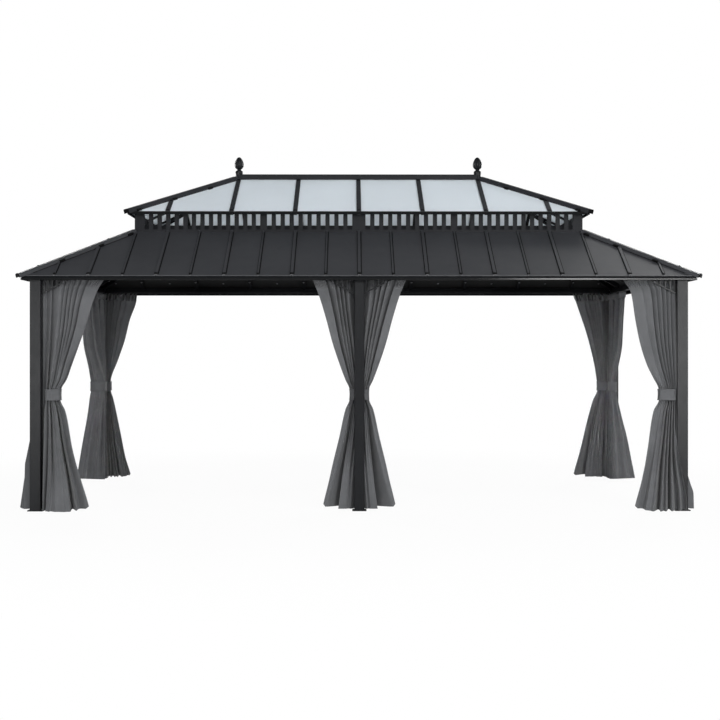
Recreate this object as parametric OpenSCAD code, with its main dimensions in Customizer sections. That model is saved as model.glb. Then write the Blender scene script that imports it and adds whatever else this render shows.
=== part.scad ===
// Hardtop gazebo: six posts, a hipped sheet roof, and a hipped glazed roof above a slatted vent,
// with a pair of tied-back curtains at every post. Long side along X, ground at z = 0.
// Roof places are given by their run b: the distance out from the ridge line, or from its end.

/* [Roof plan] */
// Length of the lower roof over its fascia
eave_length = 5876; // [5600:2:6300]
// Width of the lower roof over its fascia
eave_width = 3516; // [3300:2:3900]
// Width over the vent walls under the upper roof
vent_width = 1800; // [1700:2:1900]
// Reach of the upper roof past the vent walls
upper_overhang = 59; // [50:1:90]
// Spacing of the standing seams
seam_pitch = 295; // [270:1:310]

/* [Roof heights] */
// Height of the lower roof's surface at the fascia
eave_height = 2056; // [1900:1:2400]
// Rise of the lower roof from fascia to vent wall
lower_rise = 450; // [420:1:480]
// Height of the upper roof's surface at its eave above the foot of the vent walls
vent_rise = 176; // [165:1:215]
// Rise of the upper roof from its eave to the ridge
upper_rise = 427; // [390:1:460]

/* [Posts] */
// Width of a square corner post
corner_post = 98; // [90:1:110]
// Width of a square middle post
middle_post = 88; // [80:1:98]
// Wall of the post tubes
post_wall = 3; // [2:0.5:5]
// Bevel along the posts' edges
post_bevel = 6; // [4:0.5:9]
// Distance from the fascia in to the corner posts
post_inset = 60; // [50:1:80]
// Height of a post above the underside of the beams
post_lap = 34; // [20:1:38]
// Width of a base plate outside its post
base_margin = 18; // [16:1:26]
// Thickness of a base plate
base_t = 8; // [5:0.5:12]
// Diameter of the anchor holes
anchor_d = 9; // [7:0.5:11]

/* [Beams and braces] */
// Distance from the lower roof's surface at the fascia down to the beams' underside
beam_drop = 16; // [8:1:30]
// Height of a beam
beam_h = 54; // [48:1:56]
// Width of a beam
beam_w = 50; // [40:1:56]
// Height of the two grooves along each side of a beam
groove_h = 7; // [4:0.5:10]
// Depth of the grooves
groove_d = 3; // [1:0.5:5]
// Length of a corner brace along its beam
brace_reach = 270; // [220:1:320]
// Length of a corner brace down its post
brace_drop = 143; // [120:1:180]
// Width of a brace's bars
brace_bar = 12; // [8:1:16]
// Thickness of a brace
brace_t = 12; // [8:1:18]
// Number of upright bars in a brace
brace_bars = 5; // [3:1:7]
// Width of the curtain rails
rail_w = 22; // [18:1:26]
// Height of the curtain rails
rail_h = 24; // [16:1:28]
// Width of the slot under a rail
rail_slot = 8; // [5:0.5:10]

/* [Lower roof] */
// Thickness of the roof sheets
sheet_t = 4; // [2:0.5:6]
// Width of the gap between two sheets at a seam
sheet_gap = 8; // [4:1:14]
// Width of a rib folded into a sheet
rib_w = 14; // [10:1:22]
// Height of a folded rib
rib_h = 11; // [6:1:16]
// Width of a seam cap
seam_cap_w = 26; // [22:1:40]
// Height of a seam cap
seam_cap_h = 14; // [8:1:20]
// Width of a rafter
rafter_w = 30; // [24:1:40]
// Depth of a rafter
rafter_d = 40; // [30:1:42]
// Width of a hip rafter
hip_rafter_w = 32; // [24:1:34]
// Depth of a hip rafter
hip_rafter_d = 45; // [36:1:50]
// Width of a lower hip cap
lower_cap_w = 62; // [50:1:80]
// Height of a lower hip cap above the hip
lower_cap_h = 24; // [18:1:34]
// Length of a lower hip cap past the fascia
lower_tip = 24; // [10:1:40]
// Height of the fascia
fascia_h = 35; // [28:1:44]
// Depth of the fascia
fascia_d = 20; // [12:1:30]
// Height of the lip under the fascia
lip_h = 5; // [3:0.5:8]
// Reach of the lip past the fascia
lip_d = 3; // [1:0.5:6]

/* [Vent] */
// Thickness of a vent wall
vent_t = 14; // [10:1:20]
// Distance from the middle to the joint of two vent panels on a long side
vent_panel_w = 885; // [800:1:960]
// Width of a vent slat
slat_w = 40; // [34:1:46]
// Gaps in each half of a long side's two middle panels
middle_gaps = 10; // [8:1:11]
// Gaps in each outer panel of a long side
outer_gaps = 14; // [11:1:15]
// Gaps in each half of a short side
end_gaps = 9; // [7:1:10]
// Width of the upright at the middle of a side
centre_joint = 124; // [90:1:150]
// Width of the upright between two panels
panel_joint = 63; // [50:1:90]
// Width of the upright at a corner
vent_corner = 92; // [70:1:120]
// Height of the rail under the gaps
vent_sill = 22; // [14:1:30]
// Height of the rail over the gaps
vent_head = 8; // [5:1:14]
// Width of the ring beam behind the vent walls
curb_w = 40; // [30:1:60]
// Height of the ring beam above the foot of the vent walls
curb_up = 60; // [40:1:80]

/* [Upper roof] */
// Thickness of the glazing
pane_t = 8; // [4:0.5:10]
// Width of a glazing bar's cap
bar_cap_w = 42; // [34:1:54]
// Height of a glazing bar's cap
bar_cap_h = 9; // [6:1:14]
// Width of a glazing bar's web between two panes
web_w = 6; // [4:0.5:10]
// Width of a glazing bar under the panes
bar_w = 30; // [22:1:36]
// Depth of a glazing bar under the panes
bar_d = 20; // [14:1:22]
// Clearance of a pane beside a web
pane_play = 2; // [1:0.5:4]
// Width of an upper hip cap
upper_cap_w = 80; // [66:1:90]
// Height of an upper hip cap above the hip
upper_cap_h = 30; // [22:1:36]
// Length of an upper hip cap past the eave
upper_tip = 6; // [2:1:20]
// Height of the upper eave trim
trim_h = 18; // [14:1:26]
// Depth of the upper eave trim
trim_d = 14; // [10:1:20]
// Width of the ridge cap
ridge_cap_w = 80; // [70:1:96]
// Height of the ridge cap above the ridge
ridge_cap_h = 37; // [28:1:46]
// Depth of the ridge beam under the panes
ridge_beam_d = 40; // [30:1:60]

/* [Finials] */
// Radius of a finial's collar
collar_r = 40; // [36:1:46]
// Height of a collar
collar_h = 72; // [60:1:84]
// Radius of the neck over the collar
neck_r = 15; // [10:1:20]
// Height of the neck
neck_h = 18; // [12:1:26]
// Radius of the cone-shaped bulb
bulb_r = 46; // [40:1:54]
// Height of the bulb
bulb_h = 120; // [100:1:140]

/* [Curtains] */
// Width of a corner post's curtain on its rail
corner_top_w = 530; // [460:1:600]
// Width of a middle post's curtain on its rail, from the middle of the post
middle_top_w = 420; // [360:1:480]
// Length of the gathered head below the rails
head_fall = 227; // [190:1:260]
// Width of a corner post's curtain under the gathered head
corner_shoulder_w = 405; // [360:1:450]
// Width of a middle post's curtain under the gathered head, from the middle of the post
middle_shoulder_w = 330; // [290:1:360]
// Height of the middle of the tie bands
tie_z = 1016; // [940:1:1090]
// Height of a tie band
tie_h = 101; // [80:1:120]
// Thickness of a tie band
tie_t = 2.5; // [1.5:0.5:4]
// Width of a corner post's curtain in its tie band
corner_waist_w = 152; // [120:1:180]
// Width of a middle post's curtain in its tie band
middle_waist_w = 77; // [60:1:90]
// Depth of a curtain in its tie band
waist_d = 80; // [60:1:88]
// Depth of a curtain on its rail
head_d = 32; // [24:1:34]
// Width of a corner post's curtain at the hem
corner_hem_w = 395; // [340:1:450]
// Width of a middle post's curtain at the hem, from the middle of the post
middle_hem_w = 315; // [270:1:350]
// Depth of a corner post's curtain at the hem
corner_hem_d = 246; // [200:1:260]
// Depth of a middle post's curtain at the hem
middle_hem_d = 116; // [90:1:140]
// Height of the hems above the ground
hem_z = 9; // [5:1:40]

/* [Hidden] */
$fn = 48;

ALL_SIDES = ["front", "right", "back", "left"];
ENDS = [-1, 1];
quarter_turn = 90;

charcoal = [0.2, 0.21, 0.22];
dark_charcoal = [0.16, 0.17, 0.18];
frosted = [0.78, 0.81, 0.84];
curtain_grey = [0.39, 0.39, 0.4];

// Overrun of the cuts, mitre gap at corners that share a node, and width of a cut-off tip
overrun = 100;
mitre_gap = 0.5;
tip_flat = 2;
// Bevel along the edges of the caps
cap_bevel = 6;
// Clearances of the curtains: beside a corner post, behind a middle post, under the rails
tie_gap = 2;
shoulder_gap = 6;
head_gap = 6;
fold_t = 2;
hem_gap = 20;

ridge_half = (eave_length - eave_width) / 2;
eave_b = eave_width / 2;
vent_b = vent_width / 2;
upper_b = vent_b + upper_overhang;
lower_slope = lower_rise / (eave_b - vent_b);
upper_slope = upper_rise / upper_b;
lower_pitch = atan(lower_slope);
upper_pitch = atan(upper_slope);
lower_hip_pitch = atan(lower_slope / sqrt(2));
upper_hip_pitch = atan(upper_slope / sqrt(2));
lower_apex_z = eave_height + lower_slope * eave_b;
vent_foot_z = eave_height + lower_rise;
upper_eave_height = vent_foot_z + vent_rise;
upper_apex_z = upper_eave_height + upper_rise;
roof_top_z = upper_apex_z + ridge_cap_h + overrun;

beam_bottom = eave_height - beam_drop;
shoulder_z = beam_bottom - head_fall;
post_b = eave_b - post_inset;
line_b = post_b - corner_post / 2;
corner_x = ridge_half + line_b;
corner_inner_b = post_b - corner_post;
middle_inner_b = line_b - middle_post / 2;
post_top_z = beam_bottom + post_lap;
beam_inner_b = line_b - beam_w / 2;
rail_inner_b = beam_inner_b - rail_w;
rail_bottom_z = beam_bottom;

curb_outer_b = vent_b - vent_t;
curb_foot_z = lower_z(curb_outer_b) - (sheet_t + rafter_d) / cos(lower_pitch);
vent_head_z = upper_z(vent_b) - (pane_t + bar_d) / cos(upper_pitch);
pane_outer_b = upper_b - trim_d;

// Corner-post distance from a side's middle to the post's near face, and clearance run of the hips
rafter_hip_run = hip_rafter_w / sqrt(2);
lower_cap_run = lower_cap_w / sqrt(2);
upper_cap_run = upper_cap_w / sqrt(2);
hip_bar_run = bar_w / sqrt(2);
sheet_hip_run = sheet_gap / sqrt(2);
pane_hip_run = (web_w + 2 * pane_play) / sqrt(2);

// Outline of a finial's bulb: shares of its radius and of its height
bulb_r_shares = [0.42, 0.8, 0.97, 1, 0.92, 0.74, 0.48, 0.2];
bulb_h_shares = [0, 0.08, 0.2, 0.32, 0.5, 0.7, 0.86, 0.96];
collar_step_share = 0.72;
collar_cone_share = 0.86;

function lower_z(b) = eave_height + lower_slope * (eave_b - b);
function upper_z(b) = upper_eave_height + upper_slope * (upper_b - b);
// Half the ridge's length on the long sides, none on the hipped ends
function stretch(side) = side == "front" || side == "back" ? ridge_half : 0;
function turns(side) = search([side], ALL_SIDES)[0];
function seam_count(side, b) = floor((stretch(side) + b) / (2 * seam_pitch));
function near_post_x(side) = stretch(side) + corner_inner_b;

// Places a shape that is drawn on the front, with the run b along -Y, on any side
module on_side(side) {
    rotate([0, 0, quarter_turn * turns(side)])
        translate([0, stretch(side) - ridge_half, 0])
            children();
}

// Plan of one side between two runs, kept clear of the hips
module plan_band(side, outer_b, inner_b, hip_run) {
    top_b = max(inner_b, hip_run - stretch(side) + tip_flat);
    outer_x = stretch(side) + outer_b - hip_run;
    top_x = stretch(side) + top_b - hip_run;
    polygon([[-outer_x, -outer_b], [outer_x, -outer_b], [top_x, -top_b], [-top_x, -top_b]]);
}

// Plan strip across a side, centred on x
module strip(x, w) {
    translate([x - w / 2, -eave_length])
        square([w, eave_length]);
}

// Slabs that lie along the front of a roof, between two heights square to its surface
module lower_layer(from, to) {
    translate([0, -eave_b, eave_height])
        rotate([lower_pitch, 0, 0])
            translate([-eave_length, -overrun, from])
                cube([2 * eave_length, eave_width, to - from]);
}

module upper_layer(from, to) {
    translate([0, -upper_b, upper_eave_height])
        rotate([upper_pitch, 0, 0])
            translate([-eave_length, -overrun, from])
                cube([2 * eave_length, eave_width, to - from]);
}

// What the plan outlines given as children cover in such a slab
module on_lower(side, from, to, outer_b, inner_b, hip_run) {
    on_side(side)
        intersection() {
            lower_layer(from, to);
            linear_extrude(height = roof_top_z)
                plan_band(side, outer_b, inner_b, hip_run);
            linear_extrude(height = roof_top_z)
                children();
        }
}

module on_upper(side, from, to, outer_b, inner_b, hip_run) {
    on_side(side)
        intersection() {
            upper_layer(from, to);
            linear_extrude(height = roof_top_z)
                plan_band(side, outer_b, inner_b, hip_run);
            linear_extrude(height = roof_top_z)
                children();
        }
}

// Plan strips at the seams that join sheets, at the folded ribs, and of the sheets between seams
module seam_strips(side, b, w) {
    n = seam_count(side, b);
    for (i = [-n : n])
        strip(2 * i * seam_pitch, w);
}

module rib_strips(side, b, w) {
    n = seam_count(side, b);
    for (i = [-n - 1 : n])
        strip((2 * i + 1) * seam_pitch, w);
}

module sheet_strips(side, b, gap) {
    n = seam_count(side, b);
    for (i = [-n - 1 : n])
        strip((2 * i + 1) * seam_pitch, 2 * seam_pitch - gap);
}

// Lays a section along the hip at one corner, from run b0 to b1 below the apex
module along_hip(corner, apex_z, pitch, b0, b1) {
    run = sqrt(2) / cos(pitch);
    mirror([corner[0] < 0 ? 1 : 0, 0, 0])
        mirror([0, corner[1] > 0 ? 1 : 0, 0])
            translate([ridge_half, 0, apex_z])
                rotate([0, 0, -quarter_turn / 2])
                    rotate([0, pitch, 0])
                        translate([b0 * run, 0, 0])
                            rotate([quarter_turn, 0, quarter_turn])
                                linear_extrude(height = (b1 - b0) * run)
                                    children();
}

// Section of a cap that sits astride two slopes, which fall away by the given slope
module cap_section(w, h, fall) {
    foot = -fall * w / 2;
    polygon([
        [0, 0], [w / 2, foot], [w / 2, h - cap_bevel], [w / 2 - cap_bevel, h],
        [cap_bevel - w / 2, h], [-w / 2, h - cap_bevel], [-w / 2, foot]
    ]);
}

function hip_fall(slope, pitch) = slope / sqrt(2) * cos(pitch);

module corner_places() {
    for (sx = ENDS)
        for (sy = ENDS)
            translate([sx * corner_x, sy * line_b, 0])
                children();
}

module middle_places() {
    for (sy = ENDS)
        translate([0, sy * line_b, 0])
            children();
}

// Square with its corners cut off
module bevelled_square(w, bevel) {
    far = w / 2;
    near = far - bevel;
    polygon([
        [-near, -far], [near, -far], [far, -near], [far, near],
        [near, far], [-near, far], [-far, near], [-far, -near]
    ]);
}

// Posts and their plates
module post(w, x, y) {
    color(charcoal)
        translate([x, y, base_t])
            linear_extrude(height = post_top_z - base_t)
                difference() {
                    bevelled_square(w, post_bevel);
                    bevelled_square(w - 2 * post_wall, post_bevel - post_wall / 2);
                }
}

module base_plate(w) {
    plate_w = w + 2 * base_margin;
    difference() {
        translate([-plate_w / 2, -plate_w / 2, 0])
            cube([plate_w, plate_w, base_t]);
        for (s = ENDS)
            translate([s * (w + base_margin) / 2, 0, -overrun])
                cylinder(d = anchor_d, h = base_t + 2 * overrun);
    }
}

module base_plates() {
    color(charcoal) {
        corner_places()
            base_plate(corner_post);
        middle_places()
            base_plate(middle_post);
    }
}

// Beams with two grooves along each side, drawn as sections across their length
module beam_section() {
    difference() {
        translate([-beam_w / 2, beam_bottom])
            square([beam_w, beam_h]);
        for (s = ENDS)
            for (i = [1, 2])
                translate([s * beam_w / 2 - groove_d, beam_bottom + i * beam_h / 3 - groove_h / 2])
                    square([2 * groove_d, groove_h]);
    }
}

module along_beam(side, x0, x1, b) {
    on_side(side)
        translate([x0, -b, 0])
            rotate([quarter_turn, 0, quarter_turn])
                linear_extrude(height = x1 - x0)
                    children();
}

module long_beams(side) {
    color(dark_charcoal) {
        along_beam(side, middle_post / 2, near_post_x(side), line_b)
            beam_section();
        along_beam(side, -near_post_x(side), -middle_post / 2, line_b)
            beam_section();
    }
}

module side_beams() {
    color(dark_charcoal)
        for (side = ["left", "right"])
            along_beam(side, -near_post_x(side), near_post_x(side), line_b)
                beam_section();
}

// Rails along the inner faces of the beams, slotted below
module rail_section() {
    difference() {
        translate([-rail_w / 2, rail_bottom_z])
            square([rail_w, rail_h]);
        translate([-rail_slot / 2, rail_bottom_z - overrun])
            square([rail_slot, overrun + rail_h / 2]);
    }
}

module curtain_rails() {
    rail_b = beam_inner_b - rail_w / 2;
    color(dark_charcoal) {
        for (side = ["front", "back"]) {
            along_beam(side, middle_post / 2, near_post_x(side), rail_b)
                rail_section();
            along_beam(side, -near_post_x(side), -middle_post / 2, rail_b)
                rail_section();
        }
        for (side = ["left", "right"])
            along_beam(side, -near_post_x(side), near_post_x(side), rail_b)
                rail_section();
    }
}

// Braces: a triangle between post and beam, filled with upright bars
module brace_outline(reach, drop) {
    polygon([[0, 0], [reach, 0], [0, -drop]]);
}

module brace() {
    inner_reach = brace_reach - brace_bar * (1 + brace_reach / brace_drop + norm([brace_reach, brace_drop]) / brace_drop);
    inner_drop = inner_reach * brace_drop / brace_reach;
    bar_step = (brace_reach - brace_bar) / (brace_bars + 1);
    color(charcoal)
        rotate([quarter_turn, 0, 0])
            translate([0, beam_bottom, -brace_t / 2])
                linear_extrude(height = brace_t)
                    difference() {
                        brace_outline(brace_reach, brace_drop);
                        difference() {
                            translate([brace_bar, -brace_bar])
                                brace_outline(inner_reach, inner_drop);
                            for (i = [1 : brace_bars])
                                translate([i * bar_step, -brace_drop])
                                    square([brace_bar, brace_drop]);
                        }
                    }
}

module brace_pair(side, x) {
    on_side(side)
        for (s = ENDS)
            mirror([s > 0 ? 1 : 0, 0, 0])
                translate([x, -line_b, 0])
                    brace();
}

module long_braces(side) {
    brace_pair(side, -near_post_x(side));
    brace_pair(side, middle_post / 2);
}

module end_braces(side) {
    brace_pair(side, -near_post_x(side));
}

// Rafters under the seams, and hip rafters notched over the corner posts
module rafters() {
    color(dark_charcoal)
        for (side = ALL_SIDES)
            on_lower(side, -sheet_t - rafter_d, -sheet_t, beam_inner_b, curb_outer_b, rafter_hip_run)
                seam_strips(side, beam_inner_b, rafter_w);
}

module hip_rafters() {
    fall = hip_fall(lower_slope, lower_hip_pitch);
    top = -fall * hip_rafter_w / 2 - sheet_t * cos(lower_hip_pitch) / cos(lower_pitch);
    color(dark_charcoal)
        difference() {
            for (sx = ENDS)
                for (sy = ENDS)
                    along_hip([sx, sy], lower_apex_z, lower_hip_pitch, curb_outer_b, line_b)
                        translate([-hip_rafter_w / 2, top - hip_rafter_d])
                            square([hip_rafter_w, hip_rafter_d]);
            corner_places()
                translate([-corner_post / 2, -corner_post / 2, 0])
                    cube([corner_post, corner_post, post_top_z]);
        }
}

// Lower roof: sheets with a rib folded along their middle, and caps over the seams
module lower_roof(side) {
    color(charcoal) {
        on_lower(side, -sheet_t, 0, eave_b, curb_outer_b, sheet_hip_run)
            sheet_strips(side, eave_b, sheet_gap);
        on_lower(side, -sheet_t, rib_h, eave_b, vent_b, lower_cap_run)
            rib_strips(side, eave_b, rib_w);
    }
}

module seam_caps() {
    color(charcoal)
        for (side = ALL_SIDES)
            on_lower(side, 0, seam_cap_h, eave_b, vent_b, lower_cap_run)
                seam_strips(side, eave_b, seam_cap_w);
}

module lower_hip_caps() {
    color(charcoal)
        for (sx = ENDS)
            for (sy = ENDS)
                along_hip([sx, sy], lower_apex_z, lower_hip_pitch, vent_b, eave_b + lower_tip)
                    cap_section(lower_cap_w, lower_cap_h, hip_fall(lower_slope, lower_hip_pitch));
}

// Fascia with a lip along its lower edge
module fascia() {
    top_z = eave_height - sheet_t / cos(lower_pitch);
    color(dark_charcoal)
        for (side = ALL_SIDES)
            on_side(side) {
                translate([0, 0, top_z - fascia_h])
                    linear_extrude(height = fascia_h)
                        plan_band(side, eave_b, eave_b - fascia_d, mitre_gap);
                translate([0, 0, top_z - fascia_h])
                    linear_extrude(height = lip_h)
                        plan_band(side, eave_b + lip_d, eave_b - fascia_d, mitre_gap);
            }
}

// Vent: a ring beam on the rafters' upper ends, and slatted walls in front of it
module vent_curb() {
    color(dark_charcoal)
        for (side = ALL_SIDES)
            on_side(side)
                translate([0, 0, curb_foot_z])
                    linear_extrude(height = vent_foot_z + curb_up - curb_foot_z)
                        plan_band(side, curb_outer_b, curb_outer_b - curb_w, mitre_gap);
}

// Gaps of one vent panel, between x0 and x1
module vent_gaps(x0, x1, count) {
    pitch = (x1 - x0 + slat_w) / count;
    for (i = [0 : count - 1])
        translate([x0 + i * pitch, -vent_b - overrun, vent_foot_z + vent_sill])
            cube([pitch - slat_w, vent_t + 2 * overrun, vent_head_z - vent_head - vent_foot_z - vent_sill]);
}

module vent_wall(side) {
    end_x = stretch(side) + vent_b - vent_corner;
    color(charcoal)
        on_side(side)
            difference() {
                translate([0, 0, curb_foot_z])
                    linear_extrude(height = roof_top_z - curb_foot_z)
                        plan_band(side, vent_b, curb_outer_b, mitre_gap);
                lower_layer(-eave_width, 0);
                upper_layer(-pane_t - bar_d, eave_width);
                for (s = ENDS)
                    mirror([s < 0 ? 1 : 0, 0, 0]) {
                        if (stretch(side) > 0) {
                            vent_gaps(centre_joint / 2, vent_panel_w - panel_joint / 2, middle_gaps);
                            vent_gaps(vent_panel_w + panel_joint / 2, end_x, outer_gaps);
                        }
                        if (stretch(side) == 0)
                            vent_gaps(centre_joint / 2, end_x, end_gaps);
                    }
            }
}

// Upper roof: panes, and bars that hold them from above and below
module upper_panes(side) {
    color(frosted)
        on_upper(side, -pane_t, 0, pane_outer_b, web_w / 2 + pane_play, pane_hip_run)
            sheet_strips(side, upper_b, web_w + 2 * pane_play);
}

module glazing_bars() {
    color(charcoal)
        for (side = ALL_SIDES) {
            on_upper(side, 0, bar_cap_h, pane_outer_b, ridge_cap_w / 2, upper_cap_run)
                seam_strips(side, upper_b, bar_cap_w);
            on_upper(side, -pane_t, 0, pane_outer_b, ridge_cap_w / 2, upper_cap_run)
                seam_strips(side, upper_b, web_w);
            on_upper(side, -pane_t - bar_d, -pane_t, pane_outer_b, bar_w / 2, hip_bar_run)
                seam_strips(side, upper_b, bar_w);
        }
}

// Web and lower bar of a hip or the ridge, below a cap astride two slopes
module under_section(fall, pane_depth, depth) {
    top = -fall * bar_w / 2 - pane_depth;
    translate([-web_w / 2, top])
        square([web_w, -top + cap_bevel]);
    translate([-bar_w / 2, top - depth])
        square([bar_w, depth]);
}

module collar_cut() {
    for (s = ENDS)
        translate([s * ridge_half, 0, upper_apex_z])
            cylinder(r = collar_r, h = collar_h);
}

module upper_hip_bars() {
    fall = hip_fall(upper_slope, upper_hip_pitch);
    pane_depth = pane_t * cos(upper_hip_pitch) / cos(upper_pitch);
    start_b = upper_cap_w / 2 / sqrt(2) + mitre_gap;
    color(charcoal)
        difference() {
            for (sx = ENDS)
                for (sy = ENDS) {
                    along_hip([sx, sy], upper_apex_z, upper_hip_pitch, start_b, upper_b + upper_tip)
                        cap_section(upper_cap_w, upper_cap_h, fall);
                    along_hip([sx, sy], upper_apex_z, upper_hip_pitch, start_b, pane_outer_b - hip_bar_run)
                        under_section(fall, pane_depth, bar_d);
                }
            collar_cut();
        }
}

module ridge_bar() {
    color(charcoal)
        difference() {
            translate([-ridge_half, 0, upper_apex_z])
                rotate([quarter_turn, 0, quarter_turn])
                    linear_extrude(height = 2 * ridge_half) {
                        cap_section(ridge_cap_w, ridge_cap_h, upper_slope);
                        under_section(upper_slope, pane_t / cos(upper_pitch), ridge_beam_d);
                    }
            collar_cut();
        }
}

module upper_eave_trim() {
    color(dark_charcoal)
        for (side = ALL_SIDES)
            on_side(side)
                translate([0, 0, upper_eave_height - trim_h])
                    linear_extrude(height = trim_h)
                        plan_band(side, upper_b, pane_outer_b, mitre_gap);
}

// Finials: a collar around the ridge's end, a neck and a bulb
module finials() {
    bulb_z = collar_h + neck_h;
    color(dark_charcoal)
        for (s = ENDS)
            translate([s * ridge_half, 0, upper_apex_z])
                rotate_extrude()
                    polygon(concat(
                        [
                            [0, 0], [collar_r, 0], [collar_r, collar_h * collar_step_share],
                            [collar_r * collar_step_share, collar_h * collar_cone_share],
                            [neck_r, collar_h], [neck_r, bulb_z]
                        ],
                        [
                            for (i = [0 : len(bulb_r_shares) - 1])
                                [bulb_r * bulb_r_shares[i], bulb_z + bulb_h * bulb_h_shares[i]]
                        ],
                        [[0, bulb_z + bulb_h]]
                    ));
}

// Curtains: gathered on the rail, drawn in by a tie band and spread again at the hem
module fold_slab(x0, x1, b0, b1, z) {
    translate([x0, -b1, z])
        cube([x1 - x0, b1 - b0, fold_t]);
}

module hourglass(top, shoulder, waist, hem) {
    tie_low = tie_z - tie_h / 2;
    hull() {
        fold_slab(top[0], top[1], top[2], top[3], rail_bottom_z - fold_t);
        fold_slab(shoulder[0], shoulder[1], shoulder[2], shoulder[3], shoulder_z);
    }
    hull() {
        fold_slab(shoulder[0], shoulder[1], shoulder[2], shoulder[3], shoulder_z);
        fold_slab(waist[0], waist[1], waist[2], waist[3], tie_low + tie_h - fold_t);
    }
    translate([waist[0], -waist[3], tie_low])
        cube([waist[1] - waist[0], waist[3] - waist[2], tie_h]);
    hull() {
        fold_slab(waist[0], waist[1], waist[2], waist[3], tie_low);
        fold_slab(hem[0], hem[1], hem[2], hem[3], hem_z);
    }
}

// Spans of a curtain at one height: from and to along its rail, from and to in run b
function corner_waist() = [
    tie_t, corner_waist_w, corner_inner_b + tie_gap + tie_t, corner_inner_b + tie_gap + tie_t + waist_d
];
function middle_waist() = [
    tie_gap + tie_t, middle_waist_w, middle_inner_b - tie_t - waist_d, middle_inner_b - tie_t
];

module corner_curtain(side, end) {
    head_b = corner_inner_b + tie_gap;
    color(curtain_grey)
        on_side(side)
            mirror([end > 0 ? 1 : 0, 0, 0])
                translate([-near_post_x(side), 0, 0])
                    hourglass(
                        [head_gap, corner_top_w, head_b, head_b + head_d],
                        [shoulder_gap, corner_shoulder_w, head_b, head_b + head_d],
                        corner_waist(),
                        [hem_gap, corner_hem_w, head_b, head_b + corner_hem_d]
                    );
}

module middle_curtain(side, end) {
    head_b = corner_inner_b + tie_gap;
    back_b = min(middle_inner_b, corner_inner_b) - tie_t;
    head_x = middle_post / 2 + head_gap;
    color(curtain_grey)
        on_side(side)
            mirror([end < 0 ? 1 : 0, 0, 0])
                hourglass(
                    [head_x, middle_top_w, head_b, head_b + head_d],
                    [head_x, middle_shoulder_w, back_b - 2 * head_d, back_b],
                    middle_waist(),
                    [tie_gap + tie_t, middle_hem_w, back_b - middle_hem_d, back_b]
                );
}

// Tie bands around the curtains' waists
module tie_band(waist) {
    translate([0, 0, tie_z - tie_h / 2])
        linear_extrude(height = tie_h)
            difference() {
                translate([waist[0] - tie_t, -waist[3] - tie_t])
                    square([waist[1] - waist[0] + 2 * tie_t, waist[3] - waist[2] + 2 * tie_t]);
                translate([waist[0], -waist[3]])
                    square([waist[1] - waist[0], waist[3] - waist[2]]);
            }
}

module curtain_ties() {
    color(curtain_grey)
        for (s = ENDS) {
            for (side = ALL_SIDES)
                on_side(side)
                    mirror([s > 0 ? 1 : 0, 0, 0])
                        translate([-near_post_x(side), 0, 0])
                            tie_band(corner_waist());
            for (side = ["front", "back"])
                on_side(side)
                    mirror([s < 0 ? 1 : 0, 0, 0])
                        tie_band(middle_waist());
        }
}

post(corner_post, -corner_x, -line_b);  // post_front_left
post(middle_post, 0, -line_b);  // post_front_middle
post(corner_post, corner_x, -line_b);  // post_front_right
post(corner_post, -corner_x, line_b);  // post_back_left
post(middle_post, 0, line_b);  // post_back_middle
post(corner_post, corner_x, line_b);  // post_back_right
base_plates();
long_beams("front");  // front_beams
long_beams("back");  // back_beams
side_beams();
curtain_rails();
long_braces("front");  // braces_front
long_braces("back");  // braces_back
end_braces("left");  // braces_left
end_braces("right");  // braces_right
rafters();
hip_rafters();
lower_roof("front");  // lower_roof_front
lower_roof("right");  // lower_roof_right
lower_roof("back");  // lower_roof_back
lower_roof("left");  // lower_roof_left
seam_caps();
lower_hip_caps();
fascia();
vent_curb();
vent_wall("front");  // vent_front
vent_wall("right");  // vent_right
vent_wall("back");  // vent_back
vent_wall("left");  // vent_left
upper_panes("front");  // upper_panes_front
upper_panes("right");  // upper_panes_right
upper_panes("back");  // upper_panes_back
upper_panes("left");  // upper_panes_left
glazing_bars();
upper_hip_bars();
ridge_bar();
upper_eave_trim();
finials();
union() {  // curtains_front_left
    corner_curtain("front", -1);
    corner_curtain("left", 1);
}
union() {  // curtains_front_middle
    middle_curtain("front", -1);
    middle_curtain("front", 1);
}
union() {  // curtains_front_right
    corner_curtain("front", 1);
    corner_curtain("right", -1);
}
union() {  // curtains_back_left
    corner_curtain("back", 1);
    corner_curtain("left", -1);
}
union() {  // curtains_back_middle
    middle_curtain("back", -1);
    middle_curtain("back", 1);
}
union() {  // curtains_back_right
    corner_curtain("back", -1);
    corner_curtain("right", 1);
}
curtain_ties();
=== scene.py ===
"""Looks of the hardtop gazebo: materials for the solids, twelve gathered curtains, trim, light and camera.

Everything is in metres, in the part's frame: long side along X, front towards -Y, ground at z = 0.
"""

import math
import random

import bmesh
import bpy
import numpy as np
from mathutils import Matrix, Vector
from mathutils.bvhtree import BVHTree


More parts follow.
